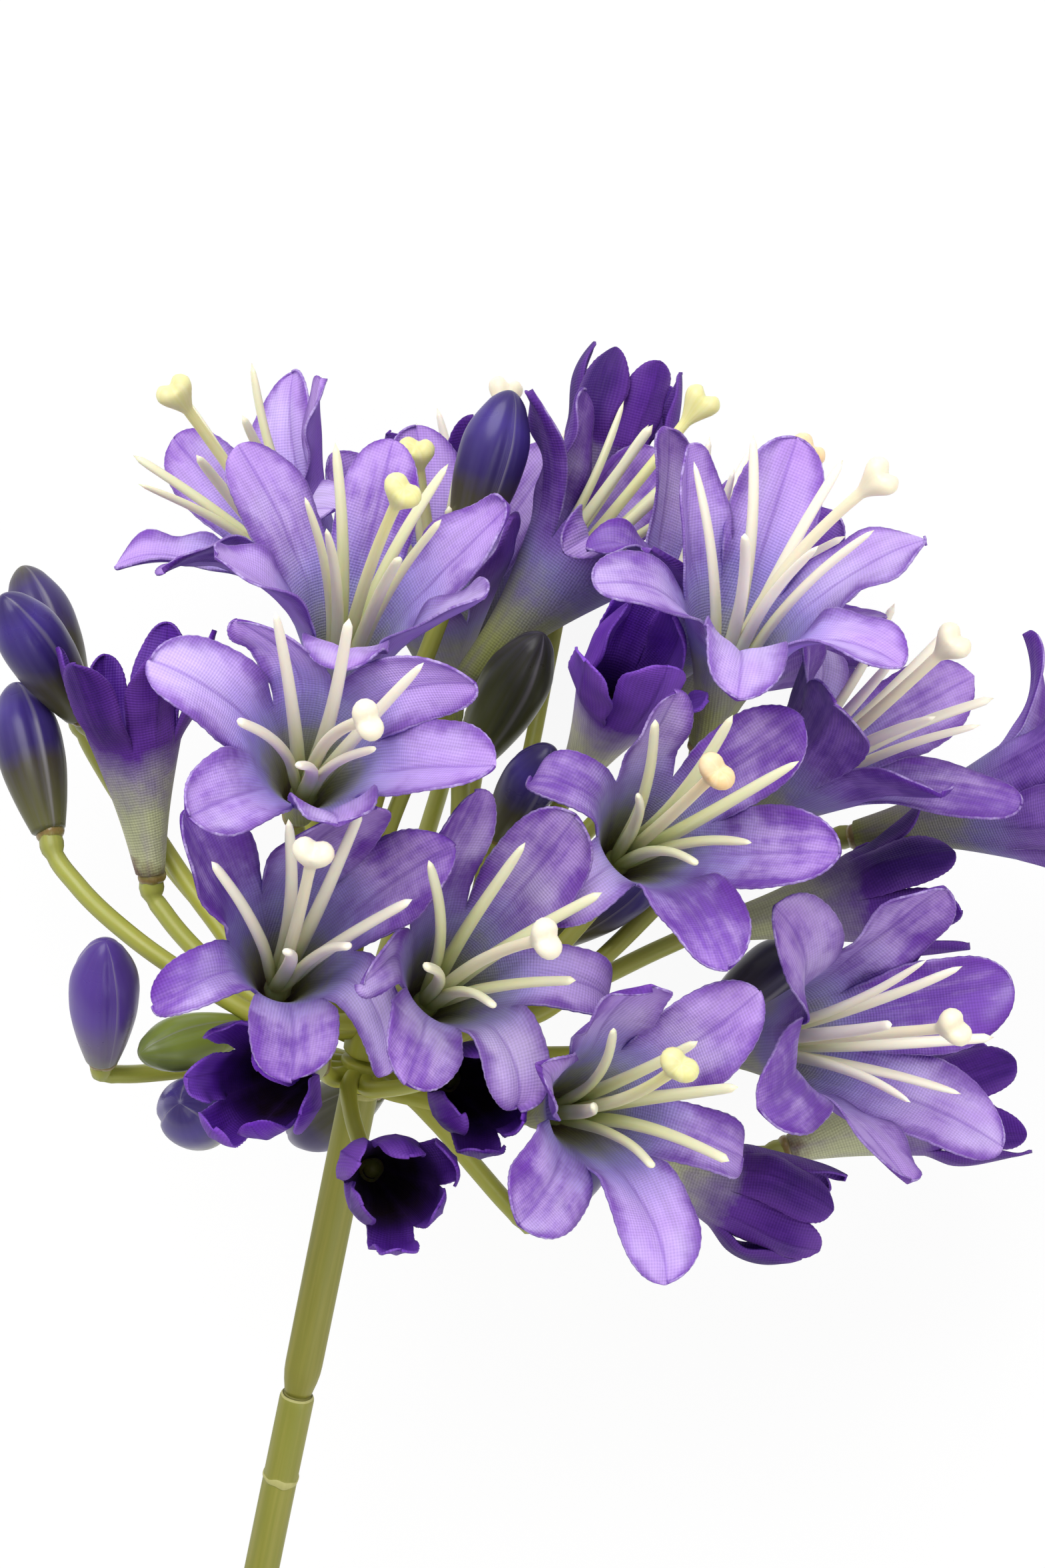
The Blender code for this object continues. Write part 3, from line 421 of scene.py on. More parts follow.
@dataclass(frozen=True)
class WovenPolyester(Finish):
    """Plain-woven polyester, dip-dyed and pressed hot into shape.

    The eye sees a fine grid of threads, drawn as painted light and shade: a light dot at each crossing and
    darker gaps. Then a soft sheen, colour that runs from the foot to the tips and gathers along the cut
    edges, and some light that comes through from behind.
    """

    along: Ramp  # colours from the foot to the tips
    deep: str  # where the dye was taken up twice
    pale: str  # where it ran off, and along the frayed cut edge
    edge: str  # dye gathered beside the cut edge
    edge_strength: float
    rib: str  # the pressed fold down the middle of a lobe
    rib_strength: float
    glow: str  # light that comes through
    translucence: float
    sheen: float = 0.12
    sheen_tint: str = "#B79CF0"
    thread: float = 0.62 * MM  # real threads are 0.4 mm apart, drawn coarser so that they show
    thread_relief: float = 0.08 * MM
    bias: float = 38.0  # degrees between the threads and a lobe's length
    crossing_highlight: float = 0.125  # how much lighter a crossing is drawn than the gaps: painted highlight and shade of the threads
    roughness: float = 0.62
    clouds: float = 0.13 / MM  # noise scale for patches of dye about 8 mm across
    runs: float = 0.07 / MM  # and for washed places about 14 mm across
    streaks: Place = (9.0, 0.9, 1.0)  # in one MAP_UNIT: streaks about 1.1 mm wide and 11 mm long

    def shader(self, node: Adder) -> bpy.types.Node:
        """Makes the cloth's shader.

        Args:
            node: Adds a node to its material.

        Returns:
            The shader.
        """
        place = node("SeparateXYZ", node("UVMap", uv_map="form"))
        cloth = node("UVMap", uv_map="cloth")
        where = node("TexCoord").outputs["Object"]
        tone, dye = (node("Attribute", attribute_name=name).outputs["Fac"] for name in ("tone", "dye"))
        across = node("Math", place, operation="ABSOLUTE")
        on_lobe = node("MapRange", place.outputs["Y"], 0.45, 0.62, 0.25, 1.0)

        # Uneven dye: soft clouds, runs, and streaks that follow the length of a lobe
        cloud = node("TexNoise", where, self.clouds, 4.0, 0.62)
        run = node("TexNoise", where, self.runs, 2.0)
        streak = node("TexNoise", node("Mapping", cloth, named={"Scale": self.streaks}), 1.0, 4.0)
        shift = node("MapRange", cloud, *NOISE, -0.06, 0.06)
        shifted = node("Math", place.outputs["Y"], shift, operation="ADD")
        colour = node("ValToRGB", shifted, stops=self.along)

        # Deeper and paler patches, dye gathered beside the edge, the fold, and the frayed edge itself
        taken = node("Math", dye, 0.34, node("Mix", 0.4, cloud, streak), operation="MULTIPLY_ADD")
        washed = node("Math", dye, -0.16, run, operation="MULTIPLY_ADD")
        outward = node("Math", across, node("MapRange", cloud, *NOISE, -0.2, 0.2), operation="ADD")
        loose = node("MapRange", streak, 0.38, 0.62, 0.05, 0.5)
        smooth = {"interpolation_type": "SMOOTHSTEP"}
        for patch, dyed in (
            (node("MapRange", taken, 0.56, 0.86, 0.0, 0.85, **smooth), self.deep),
            (node("MapRange", washed, 0.42, 0.66, 0.0, 0.5, **smooth), self.pale),
            (node("MapRange", outward, 0.5, 1.05, 0.0, self.edge_strength, **smooth), self.edge),
            (node("MapRange", across, 0.0, 0.10, self.rib_strength, 0.0, **smooth), self.rib),
            (node("MapRange", across, 0.97, 1.0, 0.0, loose), self.pale),
        ):
            share = node("Math", patch, on_lobe, operation="MULTIPLY")
            colour = node("Mix", share, colour, dyed, data_type="RGBA")

        # Threads, laid on the bias: each crossing is painted as a small light dot and each gap darker, as
        # painted highlight and shade; the bump gives them relief
        turned = node("Mapping", cloth, named={"Rotation": (0.0, 0.0, math.radians(self.bias))})
        threads = node("SeparateXYZ", turned)
        warp, weft = (
            node("Math", node("Math", threads.outputs[axis], math.tau * MAP_UNIT / self.thread,
                              operation="MULTIPLY"), operation="SINE")
            for axis in "XY"
        )
        crossing = node("Math", warp, weft, operation="MULTIPLY")
        highlight_dots = node("MapRange", crossing, -1.0, 1.0, 1 - self.crossing_highlight, 1 + self.crossing_highlight)
        bright = node("Math", highlight_dots, node("MapRange", streak, *NOISE, 0.92, 1.08), operation="MULTIPLY")
        toned = node("Math", bright, tone, operation="MULTIPLY")
        colour = node("VectorMath", colour, toned, operation="SCALE")
        relief = node("Math", streak, 1.5, operation="MULTIPLY")
        height = node("Math", crossing, relief, operation="ADD")
        bump = node("Bump", named={"Height": height, "Strength": 0.45, "Distance": self.thread_relief})

        surface = node("BsdfPrincipled", named={
            "Base Color": colour,
            "Roughness": node("MapRange", streak, *NOISE, self.roughness - 0.08, self.roughness + 0.08),
            "Normal": bump,
            "Sheen Weight": self.sheen,
            "Sheen Roughness": 0.4,
            "Sheen Tint": self.sheen_tint,
            "Specular IOR Level": 0.25,
        })
        tint = node("VectorMath", colour, linear(self.glow)[:3], operation="MULTIPLY")
        return node("MixShader", self.translucence, surface, node("BsdfTranslucent", tint, bump))


@dataclass(frozen=True)
class MouldedPlastic(Finish):
    """Soft polyethylene, injection moulded and coloured in the mass or dipped.

    The eye sees a satin surface with broad highlights, a faint skin of flow lines along the length, and a
    colour that changes where the piece was dipped.
    """

    along: Ramp  # colours from one end of the piece to the other
    mottle: str  # thin spots of the dip, or wear
    mottle_strength: float = 0.25
    roughness: float = 0.42
    grain: float = 0.04 * MM  # depth of the flow lines
    line_width: float = 0.8 * MM
    line_length: float = 12 * MM
    clouds: float = 0.12 / MM  # noise scale for a dip that is uneven over about 8 mm
    pores: float = 1.4 / MM  # and for a skin uneven over about 0.7 mm
    depth: float = 0.0  # share of light that goes into the plastic
    reach: float = 1.0 * MM  # and how far it gets
    specular: float = 0.5
    seams: int = 0  # pale lines along the piece, where the mould's parts met
    seam: str = "#8C8890"

    def shader(self, node: Adder) -> bpy.types.Node:
        """Makes the plastic's shader.

        Args:
            node: Adds a node to its material.

        Returns:
            The shader.
        """
        place = node("SeparateXYZ", node("UVMap", uv_map="form"))
        where = node("TexCoord").outputs["Object"]
        clouds = node("TexNoise", where, self.clouds, 4.0)
        scale = (MAP_UNIT / self.line_width, MAP_UNIT / self.line_length, 1.0)
        stretched = node("Mapping", node("UVMap", uv_map="cloth"), named={"Scale": scale})
        lines = node("TexNoise", stretched, 1.0, 3.0)
        shift = node("MapRange", clouds, *NOISE, -0.06, 0.06)
        shifted = node("Math", place.outputs["Y"], shift, operation="ADD")
        colour = node("ValToRGB", shifted, stops=self.along)
        spots = node("MapRange", lines, 0.42, 0.72, 0.0, self.mottle_strength)
        colour = node("Mix", spots, colour, self.mottle, data_type="RGBA")
        if self.seams:
            wave = node("Math", place, self.seams * math.pi, operation="MULTIPLY")
            off = node("Math", node("Math", wave, operation="SINE"), operation="ABSOLUTE")
            line = node("MapRange", off, 0.04, 0.14, 0.35, 0.0)
            colour = node("Mix", line, colour, self.seam, data_type="RGBA")
        fine = node("Math", node("TexNoise", where, self.pores, 2.0), 0.3, operation="MULTIPLY")
        height = node("Math", lines, fine, operation="ADD")
        return node("BsdfPrincipled", named={
            "Base Color": colour,
            "Roughness": node("MapRange", clouds, *NOISE, self.roughness - 0.07, self.roughness + 0.07),
            "Normal": node("Bump", named={"Height": height, "Strength": 0.5, "Distance": self.grain}),
            "Subsurface Weight": self.depth,
            "Subsurface Scale": self.reach,
            "IOR": 1.50,
            "Specular IOR Level": self.specular,
        })


@dataclass(frozen=True)
class DrawnSteel(Finish):
    """Steel wire, drawn through a die and left bare: grey, with fine lines along its length."""

    name: str = "drawn_steel"
    colour: str = "#A3A5A8"
    roughness: float = 0.38
    lines: Place = (4 / MM, 0.1 / MM, 4 / MM)  # noise scale for lines 0.25 mm wide and 10 mm long
    line_depth: float = 0.02 * MM

    def shader(self, node: Adder) -> bpy.types.Node:
        """Makes the wire's shader.

        Args:
            node: Adds a node to its material.

        Returns:
            The shader.
        """
        stretched = node("Mapping", node("TexCoord").outputs["Object"], named={"Scale": self.lines})
        lines = node("TexNoise", stretched, 1.0, 3.0)
        return node("BsdfPrincipled", named={
            "Base Color": self.colour,
            "Metallic": 1.0,
            "Roughness": node("MapRange", lines, 0.0, 1.0, self.roughness - 0.1, self.roughness + 0.1),
            "Normal": node("Bump", named={"Height": lines, "Strength": 0.3, "Distance": self.line_depth}),
        })


@dataclass(frozen=True)
class StudioPaper(Finish):
    """Matt white paper: a clean white ground for the camera and in reflections, with a soft shadow."""

    name: str = "studio_paper"
    colour: str = "#F4F4F4"
    lit: float = 0.9  # how much of what is seen of it shines by itself

    def shader(self, node: Adder) -> bpy.types.Node:
        """Makes the paper's shader.

        Args:
            node: Adds a node to its material.

        Returns:
            The shader.
        """
        rays = node("LightPath").outputs
        seen = node("Math", rays["Is Camera Ray"], rays["Is Glossy Ray"], operation="MAXIMUM")
        seen = node("Math", seen, rays["Is Transmission Ray"], operation="MAXIMUM")
        share = node("Math", seen, self.lit, operation="MULTIPLY")
        paper = node("BsdfPrincipled", named={"Base Color": self.colour, "Roughness": 0.9})
        return node("MixShader", share, paper, node("Emission", (1, 1, 1, 1), 1.0))


OPEN_FACE = WovenPolyester(
    "open_floret_face_cloth",
    # The funnel's greens and blue-lavenders are real, but they are drawn lighter than the cloth is: painted
    # light that lifts the shade deep in the funnel.
    along=((0.0, "#AEB660"), (0.20, "#C0C882"), (0.32, "#BEC4B4"), (0.42, "#BCB8E8"), (0.52, "#BAAAEE"),
           (0.70, "#CFB2F2"), (1.0, "#C098E6")),
    deep="#7038B2", pale="#E2D4F8", edge="#7239AE", edge_strength=0.8, rib="#8456C2", rib_strength=0.45,
    glow="#CCA2FF", translucence=0.30,
)
OPEN_BACK = WovenPolyester(
    "open_floret_back_cloth",
    # The back's colours are drawn lighter than the cloth is: painted light that lifts the shade on the
    # underside of the floret.
    along=((0.0, "#9CA452"), (0.15, "#A4A96C"), (0.31, "#9EA192"), (0.42, "#968EC4"), (0.58, "#9A72CC"),
           (1.0, "#8450B6")),
    deep="#562496", pale="#B498DE", edge="#582692", edge_strength=0.65, rib="#643A9E", rib_strength=0.4,
    glow="#CCA2FF", translucence=0.30,
)
HALF_FACE = WovenPolyester(
    "half_open_face_cloth",
    # The near-black at the foot is painted shade deep inside the half-closed trumpet; the violets further out
    # are the cloth's own colour.
    along=((0.0, "#1C150C"), (0.30, "#21141A"), (0.42, "#34125E"), (0.66, "#4E1C8E"), (1.0, "#622EA4")),
    deep="#300A64", pale="#7C56B0", edge="#6C3EA4", edge_strength=0.5, rib="#2A1050", rib_strength=0.3,
    glow="#8A4ED0", translucence=0.14, sheen=0.05,
)
HALF_BACK = WovenPolyester(
    "half_open_back_cloth",
    along=((0.0, "#7C6A46"), (0.05, "#C0C494"), (0.24, "#B6BA92"), (0.35, "#9288A0"), (0.48, "#5A2A90"),
           (1.0, "#481382")),
    deep="#2E0660", pale="#7C50AC", edge="#7040A4", edge_strength=0.45, rib="#371264", rib_strength=0.4,
    glow="#8A4ED0", translucence=0.12, sheen=0.06,
)
FILAMENT_PLASTIC = MouldedPlastic(
    "filament_plastic", ((0.0, "#C9D08E"), (0.22, "#DCDFB4"), (0.55, "#E9E5CE"), (1.0, "#EEE9D8")),
    mottle="#F6F3E4", roughness=0.4, depth=0.3,
)
GREEN_FILAMENT_PLASTIC = MouldedPlastic(
    "green_filament_plastic", ((0.0, "#B9C46E"), (0.25, "#CCD294"), (0.65, "#DBDDAE"), (1.0, "#E4E3C6")),
    mottle="#F2F0DA", roughness=0.4, depth=0.3,
)
HOT_GLUE = MouldedPlastic(
    "hot_glue", ((0.0, "#8C8A50"), (0.6, "#86703E"), (1.0, "#948E48")),
    mottle="#6C5230", mottle_strength=0.5, roughness=0.3, line_length=2 * MM, depth=0.2,
)
STALK_PLASTIC = MouldedPlastic(
    "stalk_plastic", ((0.0, "#9C9C36"), (0.4, "#A3A43C"), (0.85, "#9CA044"), (1.0, "#8A8C40")),
    mottle="#B8B65A", roughness=0.44, depth=0.15,
)
STEM_PLASTIC = MouldedPlastic(
    "stem_plastic", ((0.0, "#7B7828"), (0.5, "#7A792A"), (1.0, "#7F802C")),
    mottle="#958E40", mottle_strength=0.5, roughness=0.52, line_width=0.9 * MM, line_length=30 * MM,
    depth=0.05,
)
CUT_PLASTIC = MouldedPlastic(
    "pale_cut_plastic", ((0.0, "#98964E"), (1.0, "#A6A364")), mottle="#C4BC7A", roughness=0.6,
)


class KnobTint(Enum):
    """How the style of a cluster was coloured, from its foot to its knob."""

    YELLOW = ((0.0, "#D2D798"), (0.5, "#E2E4AC"), (0.84, "#DEDC92"), (0.95, "#DCD890"), (1.0, "#DEDA9C"))
    CREAM = ((0.0, "#CFD19A"), (0.5, "#E8E4C2"), (0.84, "#E8E0C0"), (0.95, "#E9E0C4"), (1.0, "#ECE4CE"))
    AMBER = ((0.0, "#CFD19A"), (0.5, "#E6E0BA"), (0.82, "#E6D6A8"), (0.93, "#E6C48C"), (1.0, "#EAD2A6"))

    @property
    def plastic(self) -> MouldedPlastic:
        """Returns the style's plastic in this tint."""
        return MouldedPlastic(f"style_plastic_{self.name.lower()}", self.value, mottle="#F2ECD8", depth=0.3)


class BudTint(Enum):
    """How a bud was dipped: its colours from foot to tip."""

    INDIGO = ((0.0, "#5C5C34"), (0.40, "#423E30"), (0.54, "#33285C"), (0.80, "#40307E"), (1.0, "#342A58"))
    SLATE = ((0.0, "#5A5C30"), (0.44, "#423F34"), (0.58, "#372C58"), (0.86, "#3E3268"), (1.0, "#4E4C34"))
    VIOLET = ((0.0, "#6A6A5C"), (0.18, "#5C4E72"), (0.50, "#573A96"), (1.0, "#4B347E"))
    DARK = ((0.0, "#383828"), (0.3, "#26202A"), (0.6, "#1E1836"), (1.0, "#1A142E"))
    OLIVE = ((0.0, "#6C7032"), (0.35, "#52562C"), (0.70, "#42442A"), (1.0, "#343230"))
    GREEN = ((0.0, "#8A9440"), (0.4, "#7C8A3C"), (0.8, "#6E7C34"), (1.0, "#5E6A2C"))

    @property
    def plastic(self) -> MouldedPlastic:
        """Returns the bud's plastic, dipped in this tint."""
        return MouldedPlastic(
            f"bud_plastic_{self.name.lower()}", self.value, mottle="#6C6498", mottle_strength=0.12,
            roughness=0.32, line_width=1.2 * MM, line_length=22 * MM, depth=0.05, specular=0.3, seams=3,
        )


# ---- What every part has ----


@dataclass
class Part:
    """A part of the flower, which is read from one solid of the frame and stands for it."""

    node: str  # of the frame
    slot: str  # of the record; it is not used
    finishes: tuple[Finish, ...]  # in the order of the piece's own slots
    seed: int  # of its own random numbers
    suffix: ClassVar[str] = "moulding"
    solid: Solid = field(init=False)
    skin: Skin = field(init=False)
    rng: np.random.Generator = field(init=False)

    def build(self, nodes: Mapping[str, bpy.types.Object]) -> bpy.types.Object:
        """Makes the part from its solid.

        Args:
            nodes: The frame's nodes.

        Returns:
            The piece, in the scene.
        """
        self.solid, self.skin, self.rng = Solid(nodes[self.node]), Skin(), np.random.default_rng(self.seed)
        self.fill_skin()
        return self.skin.piece(f"{self.node}_{self.suffix}")

    def fill_skin(self) -> None:
        """Adds the part's surfaces to its skin."""
        raise NotImplementedError

    def dress(self, piece: bpy.types.Object) -> None:
        """Gives the piece its finishes and lets it stand for the frame's node.

        Args:
            piece: The piece.
        """
        for finish in self.finishes:
            piece.data.materials.append(finish.material())
        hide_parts(self.node)
        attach(piece, "root")
        LOG.info("%s stands for %s with %d faces", piece.name, self.node, len(piece.data.polygons))


# ---- Florets ----


@dataclass
class LobeForm:
    """A lobe's middle line and cross-sections, as the solid has them."""

    place: int  # of the lobe's middle on the rim
    spine: Array  # points from the rim to the tip
    side: Array  # unit vectors across the lobe
    cup: Array  # how far the middle lies off the line between the edges, for each metre of half-width
    root: float  # half-width at the rim
    fullest: float  # greatest half-width


@dataclass
class FloretForm:
    """A floret's funnel and lobes, as its solid has them."""

    foot: Array
    axis: Array
    heights: Array  # of the funnel's rings, from the foot
    radii: Array
    mouth: Array  # the middle of the rim
    rim: Array  # the rim's twelve points
    lobes: list[LobeForm]

    @classmethod
    def read(cls, solid: Solid) -> FloretForm:
        """Reads a floret's form.

        Args:
            solid: The floret's solid.

        Returns:
            Its form.
        """
        (outer_cap, _), (inner_cap, _) = sorted(solid.caps(THIN_SIDES), key=lambda cap: -cap[1])[:2]
        outside, inside = (solid.levels([cap])[:4] for cap in (outer_cap, inner_cap))
        axis = unit(solid.points[inner_cap] - solid.points[outer_cap])
        foot = solid.middle(outside[1])
        heights = np.array([(solid.middle(ring) - foot) @ axis for ring in outside[1:]])
        *radii, inner = (
            np.linalg.norm(np.cross(solid.points[ring] - foot, axis), axis=1).mean()
            for ring in (*outside[1:], inside[3])
        )
        wall = (radii[2] - inner) / 2
        radii = np.array(radii) - wall * np.array([0.5, 1.0, 1.0])
        mouth = foot + axis * heights[2]

        spokes = solid.points[outside[3]] - foot
        across = unit(np.cross(axis, spokes[0]))
        bearing = np.arctan2(spokes @ across, spokes @ np.cross(across, axis))
        order = [outside[3][i] for i in np.argsort(bearing)]
        rim = mouth + unit(solid.points[order] - mouth) * radii[2]
        used = set().union(*outside, *inside)
        lobes = [cls.read_lobe(solid, group, order, rim, used) for group in solid.groups(used)]
        return cls(foot, axis, heights, radii, mouth, rim, sorted(lobes, key=lambda lobe: lobe.place))

    @staticmethod
    def read_lobe(solid: Solid, group: set[int], order: list[int], rim: Array, used: set[int]) -> LobeForm:
        """Reads one lobe.

        Args:
            solid: The floret's solid.
            group: The lobe's own corners.
            order: The outer rim's corners, in order round the axis.
            rim: The cloth's rim at those corners.
            used: The corners of the funnel.

        Returns:
            The lobe's form.
        """
        touching = {order.index(i) for corner in group for i in solid.joins[corner] if i in order}
        count = len(order)
        place = next(i for i in touching if {(i - 1) % count, (i + 1) % count} <= touching)
        rows = [(rim[place - 1], rim[place], rim[(place + 1) % count])]
        for level in solid.levels({i for i in group if solid.joins[i] & used}, group):
            points = solid.points[level]
            if len(level) == 1:
                tip = points[0]
                continue
            gaps = np.linalg.norm(points[:, None] - points[None], axis=2)
            a, b = np.unravel_index(np.argmax(gaps), gaps.shape)
            if np.linalg.norm(points[a] - rows[-1][0]) > np.linalg.norm(points[b] - rows[-1][0]):
                a, b = b, a
            rows.append((points[a], np.delete(points, [a, b], axis=0).mean(axis=0), points[b]))
        left, middle, right = (np.array(line) for line in zip(*rows))
        sides = (right - left) / 2
        widths = np.linalg.norm(sides, axis=1)
        cups = (middle - (left + right) / 2) / widths[:, None]
        return LobeForm(place, np.vstack([middle, tip]), unit(np.vstack([sides, sides[-1:]])),
                        np.vstack([cups, cups[-1:]]), widths[0], widths[1:].max())


@dataclass
class Floret(Part):
    """A trumpet of pressed cloth: a funnel that parts into six lobes."""

    suffix = "cloth"
    dye: float  # how deep the floret's colour is
    light: float  # how light it is
    thickness: float = 0.35 * MM
    foot_depth: float = 0.5 * MM  # of the funnel's closed foot
    columns: int = 15  # across a lobe
    lobe_rows: int = 34
    funnel_rows: int = 16
    fold_depth: float = 0.55 * MM  # the pressed fold down the middle of a lobe
    fold_width: float = 0.14  # as a share of the half-width
    gutter: Pair = (-2.0, 16.0)  # least and greatest rise of a lobe's halves, in degrees
    ruffle: float = 0.7 * MM  # waves along a lobe's edges
    wave_count: Pair = (0.8, 2.2)  # how many an edge has, from and to
    wave_height: Pair = (0.4, 1.3)  # how high they are, as shares of the ruffle
    rolled_edge: float = 0.9 * MM
    roll: Pair = (-0.4, 1.0)  # how much of that, from back to forwards
    nod: float = 1.8 * MM  # how far a tip bends forwards or back
    sway: float = 1.2 * MM  # how far a tip leans to one side
    belly: float = 0.0  # how far a lobe stands out behind its middle line, as a share of its half-width
    crease_height: float = 0.14 * MM
    crease_length: Pair = (6 * MM, 16 * MM)
    crease_count: int = 5
    crease_bearing: float = 0.9  # the most that they turn from the lobe's width, in radians
    fray: float = 0.09 * MM  # loose threads at the cut edge
    teeth: Pair = (-0.6, 1.0)  # cuts and threads in turn, as shares of the fray
    fullness: float = 0.99  # of the solid's width
    uneven: float = 0.07  # how much one side of a lobe differs from the other
    bluntness: Pair = (2.0, 3.0)  # of the lobes' tips
    widest: float = 0.50  # where a lobe is widest, as a share of its length
    settled: float = 0.25  # the share of a lobe, from the rim, over which its waves grow
    roll_from: float = 0.55  # where on its half-width an edge starts to roll
    nod_from: float = 0.6  # where along it the tip starts to bend
    blend: float = 7.0  # how sharply the colour changes between lobes
    funnel_share: float = 0.48  # of the colours' run from foot to tips
    lobe_light: Pair = (0.90, 1.06)  # how much lighter a lobe is than its floret, from and to
    lobe_dye: float = 0.45  # the most that a lobe's depth of colour differs from its floret's
    form: FloretForm = field(init=False)
    marks: dict[str, list[float]] = field(init=False)

    def width(self, share: Array, lobe: LobeForm, bluntness: float) -> Array:
        """Works out how wide a lobe is.

        Args:
            share: Places along the lobe, as shares of its length.
            lobe: The lobe's form.
            bluntness: Of its tip, 2 for an ellipse and more for a blunter one.

        Returns:
            Its half-width at each place.
        """
        fullest = lobe.fullest * self.fullness
        widening = lobe.root + (fullest - lobe.root) * np.sin(rise(share, 0, self.widest) * math.pi / 2)
        narrowing = fullest * np.sqrt(np.maximum(1 - rise(share, self.widest, 1) ** bluntness, 0))
        return np.where(share < self.widest, widening, narrowing)

    def creases(self, across: Array, along: Array) -> Array:
        """Makes the soft creases left in a lobe.

        Args:
            across: Distance from the lobe's middle line.
            along: Distance from the rim.

        Returns:
            Their height at each place.
        """
        height = 0.0
        for _ in range(self.crease_count):
            length = self.rng.uniform(*self.crease_length)
            bearing = self.rng.uniform(-self.crease_bearing, self.crease_bearing)
            ahead = (across * math.cos(bearing) + along * math.sin(bearing)) * math.tau / length
            height = height + np.sin(ahead + self.rng.uniform(0, math.tau))
        return height * self.crease_height / math.sqrt(self.crease_count)

    def add_lobe(self, lobe: LobeForm) -> None:
        """Adds a lobe, with its own waves.

        Args:
            lobe: The lobe's form.
        """
        form, rng, knots = self.form, self.rng, distances(lobe.spine)
        share = np.sin(np.linspace(0, 1, self.lobe_rows) * math.pi / 2)
        at = share * knots[-1]
        slope = np.diff(form.radii)[1] / np.diff(form.heights)[1]
        outward = unit(lobe.spine[0] - form.mouth)
        spine = flow(knots, lobe.spine, at, first=unit(form.axis + outward * slope * 1.2))
        side, cup = unit(flow(knots, lobe.side, at))[:, None], flow(knots, lobe.cup, at)[:, None]
        inward = unit(np.cross(side, unit(np.gradient(spine, axis=0))[:, None]))
        inward *= np.sign(inward[0, 0] @ -outward)
        half = self.width(share, lobe, rng.uniform(*self.bluntness))[:, None]
        u, s, at = np.linspace(-1, 1, self.columns)[None], share[:, None], at[:, None]

        grown = rise(s, 0, self.settled)
        uneven = 1 + self.uneven * grown * np.where(u < 0, *(
            rng.uniform(-1, 0.6) * np.sin(math.tau * (rng.uniform(0.5, 1.1) * s + rng.uniform(0, 1)))
            for _ in range(2)
        ))
        points = spine[:, None] + side * (u * uneven * half)[..., None] - cup * (u**2 * half)[..., None]
        lift = -self.belly * (1 - u**2) * np.sin(math.pi * s) * half.max()
        lift -= self.fold_depth * hump(u, self.fold_width) * grown * (1 - s**4)
        waved = np.sqrt(u**2 + 0.02) * half * math.tan(math.radians(rng.uniform(*self.gutter)))
        waves, phases = rng.uniform(*self.wave_count, 2), rng.uniform(0, math.tau, 2)
        heights = rng.uniform(*self.wave_height, 2) * self.ruffle
        for way, wave, phase, height in zip((-1, 1), waves, phases, heights):
            waved += height * np.sin(math.tau * wave * s + phase) * np.clip(way * u, 0, 1) ** 2
        rolled = rng.uniform(*self.roll, 2) * self.rolled_edge
        waved += np.where(u < 0, *rolled) * rise(np.abs(u), self.roll_from, 1) ** 2
        nod = rng.uniform(-1.0, 1.0) * self.nod * rise(s, self.nod_from, 1) ** 2
        waved += self.creases(u * half, at)
        points += inward * (lift + waved * grown + nod)[..., None]
        points += side * (rng.uniform(-1, 1) * self.sway * s**2)[..., None]

        edge = np.zeros((self.lobe_rows, self.columns))
        teeth = np.array(self.teeth)[np.arange(self.lobe_rows) % 2]
        edge[:, 0] = -teeth * rng.uniform(0.3, 1.0, self.lobe_rows)
        edge[:, -1] = teeth * rng.uniform(0.3, 1.0, self.lobe_rows)
        edge[[0, -1]] = 0.0
        points += side * (edge * self.fray * grown)[..., None]
        along = self.funnel_share + (1 - self.funnel_share) * s
        self.skin.grid(points, (u * half, at + form.heights[2]), (u, along))

    def add_funnel(self, lobe: LobeForm) -> None:
        """Adds the sixth of the funnel under a lobe.

        Args:
            lobe: The lobe's form.
        """
        form = self.form
        closed = [-self.foot_depth, -self.foot_depth / 2]
        height = np.concatenate([closed, np.linspace(0, form.heights[2], self.funnel_rows)])
        radius = np.concatenate([[0.0, form.radii[0] * 0.75], flow(form.heights, form.radii, height[2:])])
        height, radius = height[:, None], radius[:, None]
        spokes = unit(form.rim[[(lobe.place + k) % len(form.rim) for k in (-1, 0, 1)]] - form.mouth)
        u = np.linspace(-1, 1, self.columns)
        weights = np.array([(u**2 - u) / 2, 1 - u**2, (u**2 + u) / 2])
        points = form.foot + form.axis * height[..., None] + (weights.T @ spokes) * radius[..., None]
        along = rise(height, 0, form.heights[2]) * self.funnel_share
        self.skin.grid(points, (u * radius * 0.5, height), (u, along))

    def fill_skin(self) -> None:
        """Adds the funnel and the lobes, and notes each lobe's own lightness and depth of dye."""
        self.form, self.marks = FloretForm.read(self.solid), {"tone": [], "dye": []}
        for lobe in self.form.lobes:
            self.add_funnel(lobe)
            self.add_lobe(lobe)
            self.marks["tone"].append(self.light * self.rng.uniform(*self.lobe_light))
            self.marks["dye"].append(self.dye + self.rng.uniform(-self.lobe_dye, self.lobe_dye))

    def dress(self, piece: bpy.types.Object) -> None:
        """Gives each lobe its own colour, and the cloth its thickness and its finishes on face and back.

        Args:
            piece: The floret's cloth.
        """
        form = self.form
        points = np.array([corner.co for corner in piece.data.vertices]) - form.foot
        flat = points - (points @ form.axis)[:, None] * form.axis
        spokes = unit(np.array([lobe.spine[0] for lobe in form.lobes]) - form.mouth)
        weight = np.exp(self.blend * (unit(flat) @ spokes.T))
        for name, values in self.marks.items():
            blended = (weight * np.array(values)).sum(axis=1) / weight.sum(axis=1)
            layer = piece.data.attributes.new(name, "FLOAT", "POINT")
            layer.data.foreach_set("value", blended.astype(np.float32))
        shell = piece.modifiers.new("cloth thickness", "SOLIDIFY")
        shell.thickness, shell.offset = self.thickness, 0
        shell.material_offset, shell.material_offset_rim = 1, 0
        super().dress(piece)


# ---- Stamens ----


